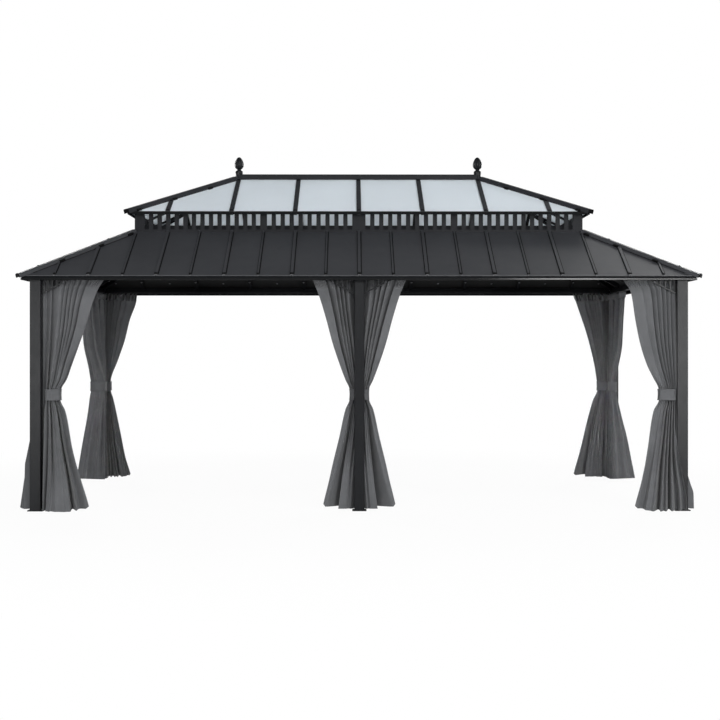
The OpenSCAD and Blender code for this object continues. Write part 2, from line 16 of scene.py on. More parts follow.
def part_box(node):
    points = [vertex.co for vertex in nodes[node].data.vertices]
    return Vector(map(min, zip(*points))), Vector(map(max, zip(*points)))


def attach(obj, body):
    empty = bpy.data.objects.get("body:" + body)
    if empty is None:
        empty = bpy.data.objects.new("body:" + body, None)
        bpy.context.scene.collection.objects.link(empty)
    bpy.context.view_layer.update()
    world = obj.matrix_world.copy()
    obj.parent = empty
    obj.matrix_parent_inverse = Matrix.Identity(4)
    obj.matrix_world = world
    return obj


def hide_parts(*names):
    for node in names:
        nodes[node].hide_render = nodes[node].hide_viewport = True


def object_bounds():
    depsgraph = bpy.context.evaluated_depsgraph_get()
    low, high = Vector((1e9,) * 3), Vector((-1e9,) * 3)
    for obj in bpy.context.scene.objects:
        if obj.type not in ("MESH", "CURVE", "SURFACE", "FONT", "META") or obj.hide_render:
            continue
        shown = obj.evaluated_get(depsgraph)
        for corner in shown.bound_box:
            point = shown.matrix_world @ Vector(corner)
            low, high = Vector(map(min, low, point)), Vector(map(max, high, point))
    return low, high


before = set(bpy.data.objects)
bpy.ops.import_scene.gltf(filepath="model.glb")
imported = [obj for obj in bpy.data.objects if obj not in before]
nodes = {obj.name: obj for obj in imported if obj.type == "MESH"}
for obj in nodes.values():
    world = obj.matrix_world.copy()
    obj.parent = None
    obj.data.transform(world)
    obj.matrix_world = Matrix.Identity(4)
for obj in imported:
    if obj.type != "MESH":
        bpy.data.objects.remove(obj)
cad_low, cad_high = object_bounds()
scene = bpy.context.scene

# Camera, solved from the photograph: pixels of its 720 pixel frame
IMAGE_PX = 720
FOCAL_PX = 1450
HORIZON_PX = 352
CENTRE_PX = 359.4
SENSOR_MM = 36
CAMERA = Vector((-0.08, -14.37, 1.39))
FRONT_Y = -1.7


def srgb(*values):
    """Linear colour of 8-bit display values."""
    out = []
    for v in values:
        c = v / 255
        out.append(c / 12.92 if c <= 0.04045 else ((c + 0.055) / 1.055) ** 2.4)
    return (*out, 1.0)


# Materials

# Coats: noise scales of tone, gloss and orange peel, and the slope and roughness of faces that look down,
# which also get painted shade
COAT_TONE, COAT_GLOSS, COAT_PEEL = 1.7, 9.0, 900.0
PEEL_DETAIL, PEEL_STRENGTH, PEEL_DEPTH = 2.0, 0.12, 0.0006
LOOKS_DOWN, MATT = -0.3, 0.95
# Panes: noise scales of tone and haze, and how clear they are
PANE_TONE, PANE_HAZE = 0.8, 14.0
PANE_ROUGH = (0.42, 0.5)
PANE_CLEAR, PANE_IOR = 0.35, 1.2
# Cloth: slubs, threads of the ties' weave, and the sheen
SLUB_SCALE, SLUB_DETAIL, SLUB_ROUGH = 6.0, 6.0, 0.65
THREADS, WANDER = 160.0, 1.5
WEAVE_STRENGTH, WEAVE_DEPTH = 0.25, 0.0008
CLOTH_ROUGH, CLOTH_LEVEL = 0.9, 0.25
SHEEN, SHEEN_ROUGH = 0.15, 0.5


def new_material(name):
    mat = bpy.data.materials.new(name)
    mat.use_nodes = True
    tree = mat.node_tree
    return mat, tree, tree.nodes["Principled BSDF"]


def add_node(tree, kind, **inputs):
    node = tree.nodes.new(kind)
    for key, value in inputs.items():
        node.inputs[key.replace("_", " ")].default_value = value
    return node


def noise(tree, scale, detail=3.0, rough=0.5):
    coords = tree.nodes.new("ShaderNodeTexCoord")
    tex = add_node(tree, "ShaderNodeTexNoise", Scale=scale, Detail=detail, Roughness=rough)
    tree.links.new(coords.outputs["Object"], tex.inputs["Vector"])
    return tex.outputs["Fac"]


def ramp(tree, fac, low, high, start=0.3, end=0.7):
    node = tree.nodes.new("ShaderNodeValToRGB")
    node.color_ramp.elements[0].position = start
    node.color_ramp.elements[0].color = low
    node.color_ramp.elements[1].position = end
    node.color_ramp.elements[1].color = high
    tree.links.new(fac, node.inputs["Fac"])
    return node.outputs["Color"]


def span(tree, fac, low, high):
    node = add_node(tree, "ShaderNodeMapRange", To_Min=low, To_Max=high)
    tree.links.new(fac, node.inputs["Value"])
    return node.outputs["Result"]


def math_node(tree, operation, a, b):
    node = tree.nodes.new("ShaderNodeMath")
    node.operation = operation
    for i, value in enumerate((a, b)):
        if isinstance(value, (int, float)):
            node.inputs[i].default_value = value
        else:
            tree.links.new(value, node.inputs[i])
    return node.outputs["Value"]


def split_xyz(tree, vector):
    node = tree.nodes.new("ShaderNodeSeparateXYZ")
    tree.links.new(vector, node.inputs["Vector"])
    return node.outputs


def mix_colour(tree, share, colour, other):
    """A linked colour, turned into a fixed one by a linked share."""
    node = tree.nodes.new("ShaderNodeMix")
    node.data_type = "RGBA"
    tree.links.new(share, node.inputs["Factor"])
    tree.links.new(colour, node.inputs["A"])
    node.inputs["B"].default_value = other
    return node.outputs["Result"]


def bump(tree, bsdf, height, strength, distance):
    node = add_node(tree, "ShaderNodeBump", Strength=strength, Distance=distance)
    tree.links.new(height, node.inputs["Height"])
    tree.links.new(node.outputs["Normal"], bsdf.inputs["Normal"])


def powder_coat(name, dark, light, rough_low, rough_high, level, painted_shade_below=None):
    """Painted metal: orange peel, a slow drift of tone and gloss and, where given, painted shade: a dark
    colour and a matt gloss on faces that look down.
    """
    mat, tree, bsdf = new_material(name)
    tone = ramp(tree, noise(tree, COAT_TONE), dark, light)
    gloss = span(tree, noise(tree, COAT_GLOSS), rough_low, rough_high)
    if painted_shade_below is not None:
        # Painted shade: faces that look down take a near-black colour in place of the coat's tone
        geometry = tree.nodes.new("ShaderNodeNewGeometry")
        normal = split_xyz(tree, geometry.outputs["Normal"])
        down = math_node(tree, "LESS_THAN", normal["Z"], LOOKS_DOWN)
        tone = mix_colour(tree, down, tone, painted_shade_below)
        gloss = math_node(tree, "MAXIMUM", gloss, math_node(tree, "MULTIPLY", down, MATT))
    tree.links.new(tone, bsdf.inputs["Base Color"])
    tree.links.new(gloss, bsdf.inputs["Roughness"])
    bump(tree, bsdf, noise(tree, COAT_PEEL, PEEL_DETAIL), PEEL_STRENGTH, PEEL_DEPTH)
    bsdf.inputs["Specular IOR Level"].default_value = level
    return mat


def frosted_sheet(name, dark, light):
    """Pale translucent glazing: light passes, outlines don't."""
    mat, tree, bsdf = new_material(name)
    tone = ramp(tree, noise(tree, PANE_TONE), dark, light)
    tree.links.new(tone, bsdf.inputs["Base Color"])
    tree.links.new(span(tree, noise(tree, PANE_HAZE), *PANE_ROUGH), bsdf.inputs["Roughness"])
    bsdf.inputs["Transmission Weight"].default_value = PANE_CLEAR
    bsdf.inputs["IOR"].default_value = PANE_IOR
    return mat


def soft_cloth(name, dark, light, weave=False):
    """Matt cloth with slubs, a soft sheen and, where it has a UV map, a plain weave as two crossed waves."""
    mat, tree, bsdf = new_material(name)
    tone = ramp(tree, noise(tree, SLUB_SCALE, SLUB_DETAIL, SLUB_ROUGH), dark, light)
    tree.links.new(tone, bsdf.inputs["Base Color"])
    if weave:
        coords = tree.nodes.new("ShaderNodeTexCoord")
        heights = []
        for direction in ("X", "Y"):
            wave = add_node(tree, "ShaderNodeTexWave", Scale=THREADS, Distortion=WANDER, Detail=1.0)
            wave.bands_direction = direction
            tree.links.new(coords.outputs["UV"], wave.inputs["Vector"])
            heights.append(wave.outputs["Fac"])
        bump(tree, bsdf, math_node(tree, "MULTIPLY", *heights), WEAVE_STRENGTH, WEAVE_DEPTH)
    bsdf.inputs["Roughness"].default_value = CLOTH_ROUGH
    bsdf.inputs["Sheen Weight"].default_value = SHEEN
    bsdf.inputs["Sheen Roughness"].default_value = SHEEN_ROUGH
    bsdf.inputs["Specular IOR Level"].default_value = CLOTH_LEVEL
    return mat


# Heights of the curtains
RAIL_GAP = 0.004
rail_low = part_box("curtain_rails")[0]
tie_low, tie_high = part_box("curtain_ties")
HEM_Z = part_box("curtains_front_left")[0].z
TOP_Z = rail_low.z - RAIL_GAP

# Near black, painted on faces that look down as shade
UNDERSIDE_SHADE = srgb(9, 9, 10)
FRAME_METAL = powder_coat("frame_coat", srgb(18, 19, 21), srgb(22, 23, 25), 0.28, 0.34, 0.13)
# A darker, duller copy of the frame's coat for beams, rails, rafters, fascia and trim: painted shade
SHADED_METAL = powder_coat("shaded_frame_coat", srgb(13, 14, 16), srgb(17, 18, 20), 0.5, 0.56, 0.03)
ROOF_SHEET = powder_coat("roof_coat", srgb(44, 45, 48), srgb(49, 50, 53), 0.4, 0.48, 0.38, UNDERSIDE_SHADE)
ROOF_TRIM = powder_coat("roof_trim_coat", srgb(22, 23, 25), srgb(27, 28, 31), 0.4, 0.46, 0.07, UNDERSIDE_SHADE)
BAR_METAL = powder_coat("bar_coat", srgb(34, 35, 38), srgb(40, 41, 44), 0.4, 0.46, 0.12, UNDERSIDE_SHADE)
EAVE_STRIP = powder_coat("eave_strip_coat", srgb(10, 11, 12), srgb(14, 15, 16), 0.1, 0.13, 0.2)
BLACK_PLASTIC = powder_coat("black_plastic", srgb(8, 8, 9), srgb(11, 11, 12), 0.6, 0.7, 0.1)
STEEL = powder_coat("hook_steel", srgb(66, 67, 70), srgb(76, 77, 80), 0.4, 0.5, 0.3)
PANES = frosted_sheet("frosted_panes", srgb(228, 235, 240), srgb(235, 242, 247))
CLOTH = soft_cloth("curtain_cloth", srgb(77, 78, 80), srgb(87, 88, 90))
TIE_CLOTH = soft_cloth("tie_weave", srgb(74, 75, 77), srgb(82, 83, 85), weave=True)

# Solids that take the darker copy of the coat, as painted shade
SHADED_NODES = (
    "front_beams", "back_beams", "side_beams", "curtain_rails", "rafters", "hip_rafters",
    "fascia", "vent_curb", "upper_eave_trim",
)
BAR_NODES = ("glazing_bars", "upper_hip_bars")
ROOF_CAPS = ("seam_caps", "lower_hip_caps")


def coat_of(node_name):
    """The material of one solid of the frame."""
    if node_name.startswith("upper_panes"):
        return PANES
    if node_name.startswith("lower_roof") or node_name in ROOF_CAPS:
        return ROOF_SHEET
    if node_name in SHADED_NODES:
        return SHADED_METAL
    if node_name in BAR_NODES:
        return BAR_METAL
    if node_name == "ridge_bar" or node_name.startswith("vent_"):
        return ROOF_TRIM
    return FRAME_METAL


for node_name, node in nodes.items():
    node.data.materials.clear()
    node.data.materials.append(coat_of(node_name))


# Places of the frame that the added pieces sit on

post_low, post_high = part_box("post_front_left")
middle_low, middle_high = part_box("post_front_middle")
bulb_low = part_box("finials")[0]
hip_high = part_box("lower_hip_caps")[1]
fascia_low, fascia_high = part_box("fascia")
RIDGE_HALF = cad_high.x - cad_high.y
MIDDLE_HALF = (middle_high.x - middle_low.x) / 2
POST_INNER_B = -post_high.y
POST_OUTER_B = -post_low.y
TIE_Z = (tie_low.z + tie_high.z) / 2
TIE_H = tie_high.z - tie_low.z


def smooth_curve(points):
    """A smooth function through given (x, y) points, with no overshoot between them."""
    points = sorted(points)
    xs = np.array([p[0] for p in points], float)
    ys = np.array([p[1] for p in points], float)
    slopes = np.diff(ys) / np.diff(xs)
    tangents = np.zeros(len(xs))
    for i in range(1, len(xs) - 1):
        if slopes[i - 1] * slopes[i] > 0:
            tangents[i] = 2 * slopes[i - 1] * slopes[i] / (slopes[i - 1] + slopes[i])
    tangents[0], tangents[-1] = slopes[0], slopes[-1]

    def value(x):
        x = min(max(x, xs[0]), xs[-1])
        i = min(int(np.searchsorted(xs, x, side="right")) - 1, len(xs) - 2)
        h = xs[i + 1] - xs[i]
        t = (x - xs[i]) / h
        return (
            (1 + 2 * t) * (1 - t) ** 2 * ys[i] + t * (1 - t) ** 2 * h * tangents[i]
            + t * t * (3 - 2 * t) * ys[i + 1] + t * t * (t - 1) * h * tangents[i + 1]
        )

    return value


def step(a, b, x):
    """Eases from 0 at a to 1 at b, which may lie either way."""
    t = np.clip((x - a) / (b - a), 0, 1)
    return t * t * (3 - 2 * t)


def add_piece(name, bm, material, smooth=True):
    for face in bm.faces:
        face.smooth = smooth
    mesh = bpy.data.meshes.new(name)
    bm.to_mesh(mesh)
    bm.free()
    mesh.materials.append(material)
    obj = bpy.data.objects.new(name, mesh)
    scene.collection.objects.link(obj)
    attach(obj, "root")
    return obj


def grid_faces(bm, points, wrap=False):
    """Quads over rows of points, which may close into rings."""
    grid = [[bm.verts.new(p) for p in row] for row in points]
    count = len(grid[0])
    for a, b in zip(grid, grid[1:]):
        for k in range(count if wrap else count - 1):
            n = (k + 1) % count
            bm.faces.new((a[k], a[n], b[n], b[k]))
    return grid


def capped(bm, rings):
    """A closed form over rings of points, with a flat face at either end."""
    grid = grid_faces(bm, rings, wrap=True)
    bm.faces.new(reversed(grid[0]))
    bm.faces.new(grid[-1])


def turns(count):
    """The angles of a ring of points."""
    return [2 * math.pi * i / count for i in range(count)]


# Curtains. Widths are read down the free edge, as (height, width from the post).
FRONT_LEFT_EDGE = [
    (2.04, 0.548), (1.95, 0.492), (1.81, 0.437), (1.61, 0.383), (1.43, 0.318), (1.28, 0.262),
    (1.15, 0.217), (1.07, 0.172), (1.016, 0.164), (0.965, 0.169), (0.875, 0.211), (0.56, 0.279),
    (0.24, 0.374), (0.0, 0.436),
]
FRONT_RIGHT_EDGE = [
    (2.04, 0.47), (1.91, 0.392), (1.67, 0.356), (1.47, 0.318), (1.28, 0.26), (1.16, 0.203),
    (1.08, 0.162), (1.016, 0.152), (0.965, 0.157), (0.875, 0.203), (0.56, 0.262), (0.24, 0.33), (0.0, 0.386),
]
BACK_LEFT_EDGE = [
    (2.04, 0.36), (1.95, 0.35), (1.74, 0.277), (1.52, 0.222), (1.3, 0.145), (1.08, 0.066),
    (1.016, 0.062), (0.965, 0.066), (0.88, 0.092), (0.53, 0.167), (0.2, 0.233), (0.0, 0.285),
]
BACK_RIGHT_EDGE = [
    (2.04, 0.405), (1.95, 0.378), (1.6, 0.26), (1.22, 0.158), (1.07, 0.136), (1.016, 0.13), (0.965, 0.136),
    (0.86, 0.183), (0.31, 0.325), (0.0, 0.4),
]
RIGHT_BACK_EDGE = [
    (2.04, 0.6), (1.9, 0.53), (1.7, 0.43), (1.5, 0.355), (1.3, 0.275), (1.15, 0.2), (1.07, 0.162),
    (1.016, 0.152), (0.965, 0.157), (0.875, 0.203), (0.56, 0.262), (0.24, 0.33), (0.0, 0.386),
]
MIDDLE_EDGE = [
    (2.04, 0.418), (1.9, 0.36), (1.69, 0.295), (1.47, 0.236), (1.28, 0.173), (1.14, 0.12),
    (1.07, 0.088), (1.016, 0.082), (0.965, 0.088), (0.88, 0.124), (0.65, 0.175), (0.385, 0.239), (0.0, 0.32),
]
LEFT_BACK_EDGE = [
    (2.04, 0.72), (1.9, 0.66), (1.75, 0.56), (1.6, 0.46), (1.43, 0.36), (1.28, 0.27), (1.15, 0.205),
    (1.07, 0.156), (1.016, 0.147), (0.965, 0.152), (0.875, 0.196), (0.56, 0.262), (0.24, 0.345), (0.0, 0.4),
]
BACK_MIDDLE_EDGE = [
    (2.04, 0.41), (1.9, 0.35), (1.69, 0.285), (1.47, 0.226), (1.28, 0.163), (1.14, 0.107), (1.07, 0.072),
    (1.016, 0.066), (0.965, 0.067), (0.9, 0.07), (0.8, 0.098), (0.65, 0.146), (0.385, 0.203), (0.0, 0.292),
]
# Run of the cloth: its innermost and outermost reach at each height
CORNER_INNER = [(2.04, 1.58), (1.9, 1.58), (1.5, 1.588), (1.07, 1.603), (0.965, 1.603), (0.0, 1.603)]
CORNER_OUTER = [
    (2.04, 1.632), (1.88, 1.638), (1.5, 1.662), (1.07, 1.681), (0.965, 1.681), (0.85, 1.686), (0.7, 1.704),
    (0.45, 1.752), (0.2, 1.81), (0.0, 1.848),
]
RIGHT_FRONT_OUTER = [
    (2.04, 1.632), (1.88, 1.638), (1.5, 1.662), (1.07, 1.681), (0.965, 1.681), (0.6, 1.684), (0.4, 1.694),
    (0.25, 1.735), (0.12, 1.776), (0.0, 1.79),
]
COVER_INNER = [(2.04, 1.57), (1.07, 1.572), (0.965, 1.572), (0.5, 1.57), (0.0, 1.56)]
LEFT_COVER_OUTER = [
    (2.04, 1.638), (1.9, 1.642), (1.84, 1.68), (1.75, 1.715), (1.5, 1.738), (1.2, 1.736), (1.07, 1.736),
    (0.965, 1.736), (0.85, 1.742), (0.7, 1.758), (0.45, 1.796), (0.2, 1.828), (0.0, 1.848),
]
RIGHT_COVER_OUTER = [
    (2.04, 1.638), (1.6, 1.645), (1.07, 1.652), (0.965, 1.652), (0.85, 1.665), (0.7, 1.695), (0.45, 1.752),
    (0.2, 1.792), (0.0, 1.822),
]
MIDDLE_INNER = [
    (2.04, 1.565), (1.81, 1.508), (1.3, 1.502), (1.07, 1.526), (0.965, 1.526), (0.6, 1.465), (0.0, 1.44),
]
MIDDLE_OUTER = [(2.04, 1.632), (1.95, 1.616), (1.81, 1.596), (1.07, 1.599), (0.965, 1.599), (0.0, 1.597)]
# Folds from the post to the free edge, one row each: share of the width at head, tie and hem,
# depth at head, tie and hem, and the steep side above and below the tie (1 towards the post)
SWEPT_FOLDS = [
    (0.13, 0.12, 0.06, 0.8, 0.9, 0.5, 1, 1),
    (0.18, 0.16, 0.1, 0.9, 0.8, 0.95, 1, -1),
    (0.08, 0.07, 0.06, 0.6, 0.1, 0.0, -1, 1),
    (0.08, 0.08, 0.1, 0.8, 0.75, 0.05, -1, 1),
    (0.09, 0.09, 0.2, 0.6, 0.2, 0.1, -1, 1),
    (0.09, 0.07, 0.1, 0.8, 0.1, 0.05, -1, 1),
    (0.11, 0.09, 0.06, 1.0, 1.0, 0.0, -1, 1),
    (0.24, 0.32, 0.32, 0.0, 0.5, 0.95, -1, 1),
]
DRAPED_FOLDS = [
    (0.13, 0.12, 0.05, 0.8, 0.9, 0.6, 1, 1),
    (0.18, 0.16, 0.07, 0.9, 0.8, 0.8, 1, -1),
    (0.08, 0.07, 0.08, 0.6, 0.1, 0.1, -1, 1),
    (0.08, 0.1, 0.14, 0.8, 0.95, 0.15, -1, 1),
    (0.09, 0.09, 0.17, 0.6, 0.2, 0.05, -1, 1),
    (0.09, 0.07, 0.12, 0.8, 0.1, 0.05, -1, 1),
    (0.11, 0.12, 0.14, 1.0, 1.0, 0.95, -1, 1),
    (0.24, 0.29, 0.23, 0.0, 0.5, 0.4, -1, 1),
]
PLAIN_FOLDS = [
    (0.1, 0.1, 0.1, 0.9, 0.9, 0.8, -1, 1),
    (0.1, 0.1, 0.12, 0.8, 0.7, 0.65, -1, 1),
    (0.1, 0.1, 0.14, 0.9, 0.8, 0.85, -1, 1),
    (0.12, 0.1, 0.12, 0.7, 0.5, 0.3, -1, 1),
    (0.13, 0.12, 0.17, 1.0, 0.9, 0.85, -1, 1),
    (0.18, 0.18, 0.15, 0.35, 0.3, 0.1, -1, 1),
    (0.27, 0.3, 0.2, 0.1, 0.1, 0.3, -1, 1),
]
MIDDLE_FOLDS = [
    (0.15, 0.15, 0.22, 0.7, 0.9, 0.5, 1, 1),
    (0.14, 0.13, 0.12, 0.8, 0.4, 0.1, -1, 1),
    (0.12, 0.12, 0.1, 0.9, 0.1, 0.0, -1, 1),
    (0.12, 0.12, 0.08, 0.7, 0.2, 0.0, -1, 1),
    (0.2, 0.18, 0.42, 1.0, 1.0, 1.0, -1, 1),
    (0.27, 0.3, 0.06, 0.0, 0.1, 0.0, -1, 1),
]
# How unlike the drawn folds a curtain's own ones are, how steep they are and how far they roll over
UNEVEN = 0.16
STEEPEN = 0.65
OVERLAP = 0.3
FOLD_DEPTH = [(2.04, 0.06), (0.9, 0.06), (0.6, 0.075), (0.0, 0.085)]
SWAY, SWAY_RATES = 0.006, (3.1, 5.3)
BELL = 0.8
# Shares of the way between which the depths change, and heights at the tie between which steep sides do
HEAD_TO_TIE, TIE_TO_HEM = (0.1, 0.85), (0.05, 0.9)
SIDE_TURNS = (0.02, 0.1)
# Start of the cloth beside its post: its gap, those that start further off, and the taper under the tie
EDGE_GAP = 0.004
START = {"front_left_curtain": 0.032}
START_BELOW = 0.35
START_TAPER = (0.86, 1.0)
# The edge of such a cloth returns to the post, over a share of the width
EDGE_RETURN = 0.05
RETURN_GAP = 0.0005
RETURN_RUN = 0.012
# Middle curtains start beside their post at the head and run behind it lower down
MIDDLE_START = MIDDLE_HALF + 0.006
MIDDLE_SLIDE = (1.95, 1.3)
OUTER = {"right_front_curtain": RIGHT_FRONT_OUTER}
# A hem that spreads over the front of its post: how far, and over which share of the cloth
LAPPED = {"front_right_curtain": (0.072, 0.22)}
LAP_GAP = 0.008
LAP_HEIGHTS = (0.6, 0.05)
LAP_READY = (0.75, 0.6)
LAP_NEAR = (0.035, 0.008)
# Curtains that hide the ones behind them: turns of the cloth, and the pleats of the panel that shows
COVER_TURNS = 5
COVER_LEAN = 0.05
LEAN_HEIGHTS = (1.1, 1.5)
COVER_PLEATS = 3
COVER_RIPPLE = 0.038
UPPER_CROWD, LOWER_CROWD = 0.85, 1.15
UPPER_SHARP = 0.6
UPPER_CREASE, UPPER_CREASES, CREASE_SLANT = 0.35, 2, 2.3
UPPER_DRIFT, UPPER_DRIFTS = 0.25, 1.7
LOWER_DRIFT, LOWER_DRIFTS = 0.5, 2.1
PANEL_ENDS = 0.5
LOWER_DEPTH = 0.8
LOWER_FADE = 0.3
COVER_CALM, CALM_REACH = 0.7, 0.12
COVER_PINCH, PINCH_FROM_TIE, PINCH_REACH = 0.03, 0.1, 0.055
PINCH_GATHERS = 4
# Gathers at the tie, ruffles of the head, and the lift of the hem
GATHERS = 12
GATHER_DEPTH = 0.016
GATHER_REACH = 0.1
GATHER_ENDS = 0.3
# How unevenly gathers, their reach and ruffles are spaced, and in how many waves along the cloth
GATHER_DRIFT, GATHER_DRIFTS = 1.4, 7
REACH_DRIFT, REACH_DRIFTS = 0.45, 23
RUFFLE_DRIFT, RUFFLE_DRIFTS = 0.8, 9
RUFFLES = 20
BACK_RUFFLES = 11
RUFFLE_DEPTH = 0.004
RUFFLE_DIP = 0.012
HEADER = 0.075
HEADER_FADE = (0.015, 0.02)
HEADER_CALM = 0.35
HEAD_RUN = (1.552, 1.64)
HEAD_RUFFLED = 0.85
HEM_LIFT = 0.04
HEM_CORNER = (0.55, 0.94)
HEM_WAVE = 0.003
HEM_REACH = 0.3
COLUMNS = 180
ABOVE_TIE, BELOW_TIE = 0.11, 0.13
HEAD_LEVELS = 0.1
# Heights of the cloth's points, closer together at the head and the tie
LEVEL_ENDS = (TOP_Z, TOP_Z - HEAD_LEVELS, TIE_Z + ABOVE_TIE, TIE_Z - BELOW_TIE, HEM_Z)
LEVEL_COUNTS = (16, 42, 26, 40)
LEVELS = [
    z for top, foot, count in zip(LEVEL_ENDS, LEVEL_ENDS[1:], LEVEL_COUNTS)
    for z in np.linspace(top, foot, count)[:-1]
] + [HEM_Z]


def side_place(side):
    """Turns a point drawn on the front, run along -Y, to any side."""
    quarter = {"front": 0, "right": 1, "back": 2, "left": 3}[side]
    shift = 0 if quarter % 2 == 0 else -RIDGE_HALF
    c, s = ((1, 0), (0, 1), (-1, 0), (0, -1))[quarter]
    return lambda x, y: (c * x - s * (y + shift), s * x + c * (y + shift))


def stretch(side):
    """Half the ridge, on the long sides."""
    return RIDGE_HALF if side in ("front", "back") else 0.0


def post_place(side, end, middle):
    """Turns (distance from the post, run) to a point on the plan, at one end of a bay."""
    place = side_place(side)
    near_x = stretch(side) + POST_INNER_B

    def value(u, b):
        x = u if middle else u - near_x
        return place(-x if (end > 0) != middle else x, -b)

    return value


def fold_wave(rows, z, s):
    """Depth of the folds at one height (1 on the ridges), and how far each point is drawn sideways."""
    to_tie = np.clip((TOP_Z - z) / (TOP_Z - TIE_Z), 0, 1)
    to_hem = np.clip((TIE_Z - z) / (TIE_Z - HEM_Z), 0, 1)
    below = step(TIE_Z + SIDE_TURNS[0], TIE_Z - SIDE_TURNS[1], z)
    share = rows[:, 0] + (rows[:, 1] - rows[:, 0]) * to_tie + (rows[:, 2] - rows[:, 1]) * to_hem
    share = share / share.sum()
    deep = rows[:, 3] + (rows[:, 4] - rows[:, 3]) * step(*HEAD_TO_TIE, to_tie)
    deep = deep + (rows[:, 5] - rows[:, 4]) * step(*TIE_TO_HEM, to_hem)
    side = rows[:, 6] + (rows[:, 7] - rows[:, 6]) * below
    ends = np.concatenate([[0], np.cumsum(share)])
    i = np.clip(np.searchsorted(ends, s, side="right") - 1, 0, len(share) - 1)
    p = np.clip((s - ends[i]) / share[i], 0, 1)
    early, late = p ** STEEPEN, 1 - (1 - p) ** STEEPEN
    p = 2 * np.pi * (early * (1 + side[i]) + late * (1 - side[i])) / 2
    fall = deep[i] * (1 - np.cos(p))
    return 1 - fall, -OVERLAP * fall * side[i] * share[i]


def cover_folds(z, s, seed, low, high):
    """A covering curtain at one height: its wave and run, and how far the pleats set its panel back."""
    wave = np.cos(np.pi * COVER_TURNS * (1 - s))
    run = (low + high - (high - low) * wave) / 2
    panel = np.clip(1 - COVER_TURNS * (1 - s), 0, 1)
    phase = np.pi * COVER_PLEATS * panel ** UPPER_CROWD + UPPER_DRIFT * math.sin(UPPER_DRIFTS * z + seed)
    pleat = 1 - np.abs(np.sin(phase)) ** UPPER_SHARP
    pleat = pleat + UPPER_CREASE * np.sin(2 * np.pi * UPPER_CREASES * panel + CREASE_SLANT * z + seed)
    phase = 2 * np.pi * COVER_PLEATS * panel ** LOWER_CROWD + LOWER_DRIFT * math.sin(LOWER_DRIFTS * z + seed)
    lower = LOWER_DEPTH * (1 - np.cos(phase))
    pleat = pleat + (lower - pleat) * float(step(TIE_Z, TIE_Z - LOWER_FADE, z))
    calm = 1 - COVER_CALM * math.exp(-((z - TIE_Z) / CALM_REACH) ** 2)
    pinch = math.exp(-((abs(z - TIE_Z) - PINCH_FROM_TIE) / PINCH_REACH) ** 2)
    gather = 0.5 - 0.5 * np.cos(2 * np.pi * PINCH_GATHERS * panel + seed)
    set_back = COVER_RIPPLE * calm * pleat + COVER_PINCH * pinch * gather
    return wave, run, set_back * np.sin(np.pi * panel) ** PANEL_ENDS


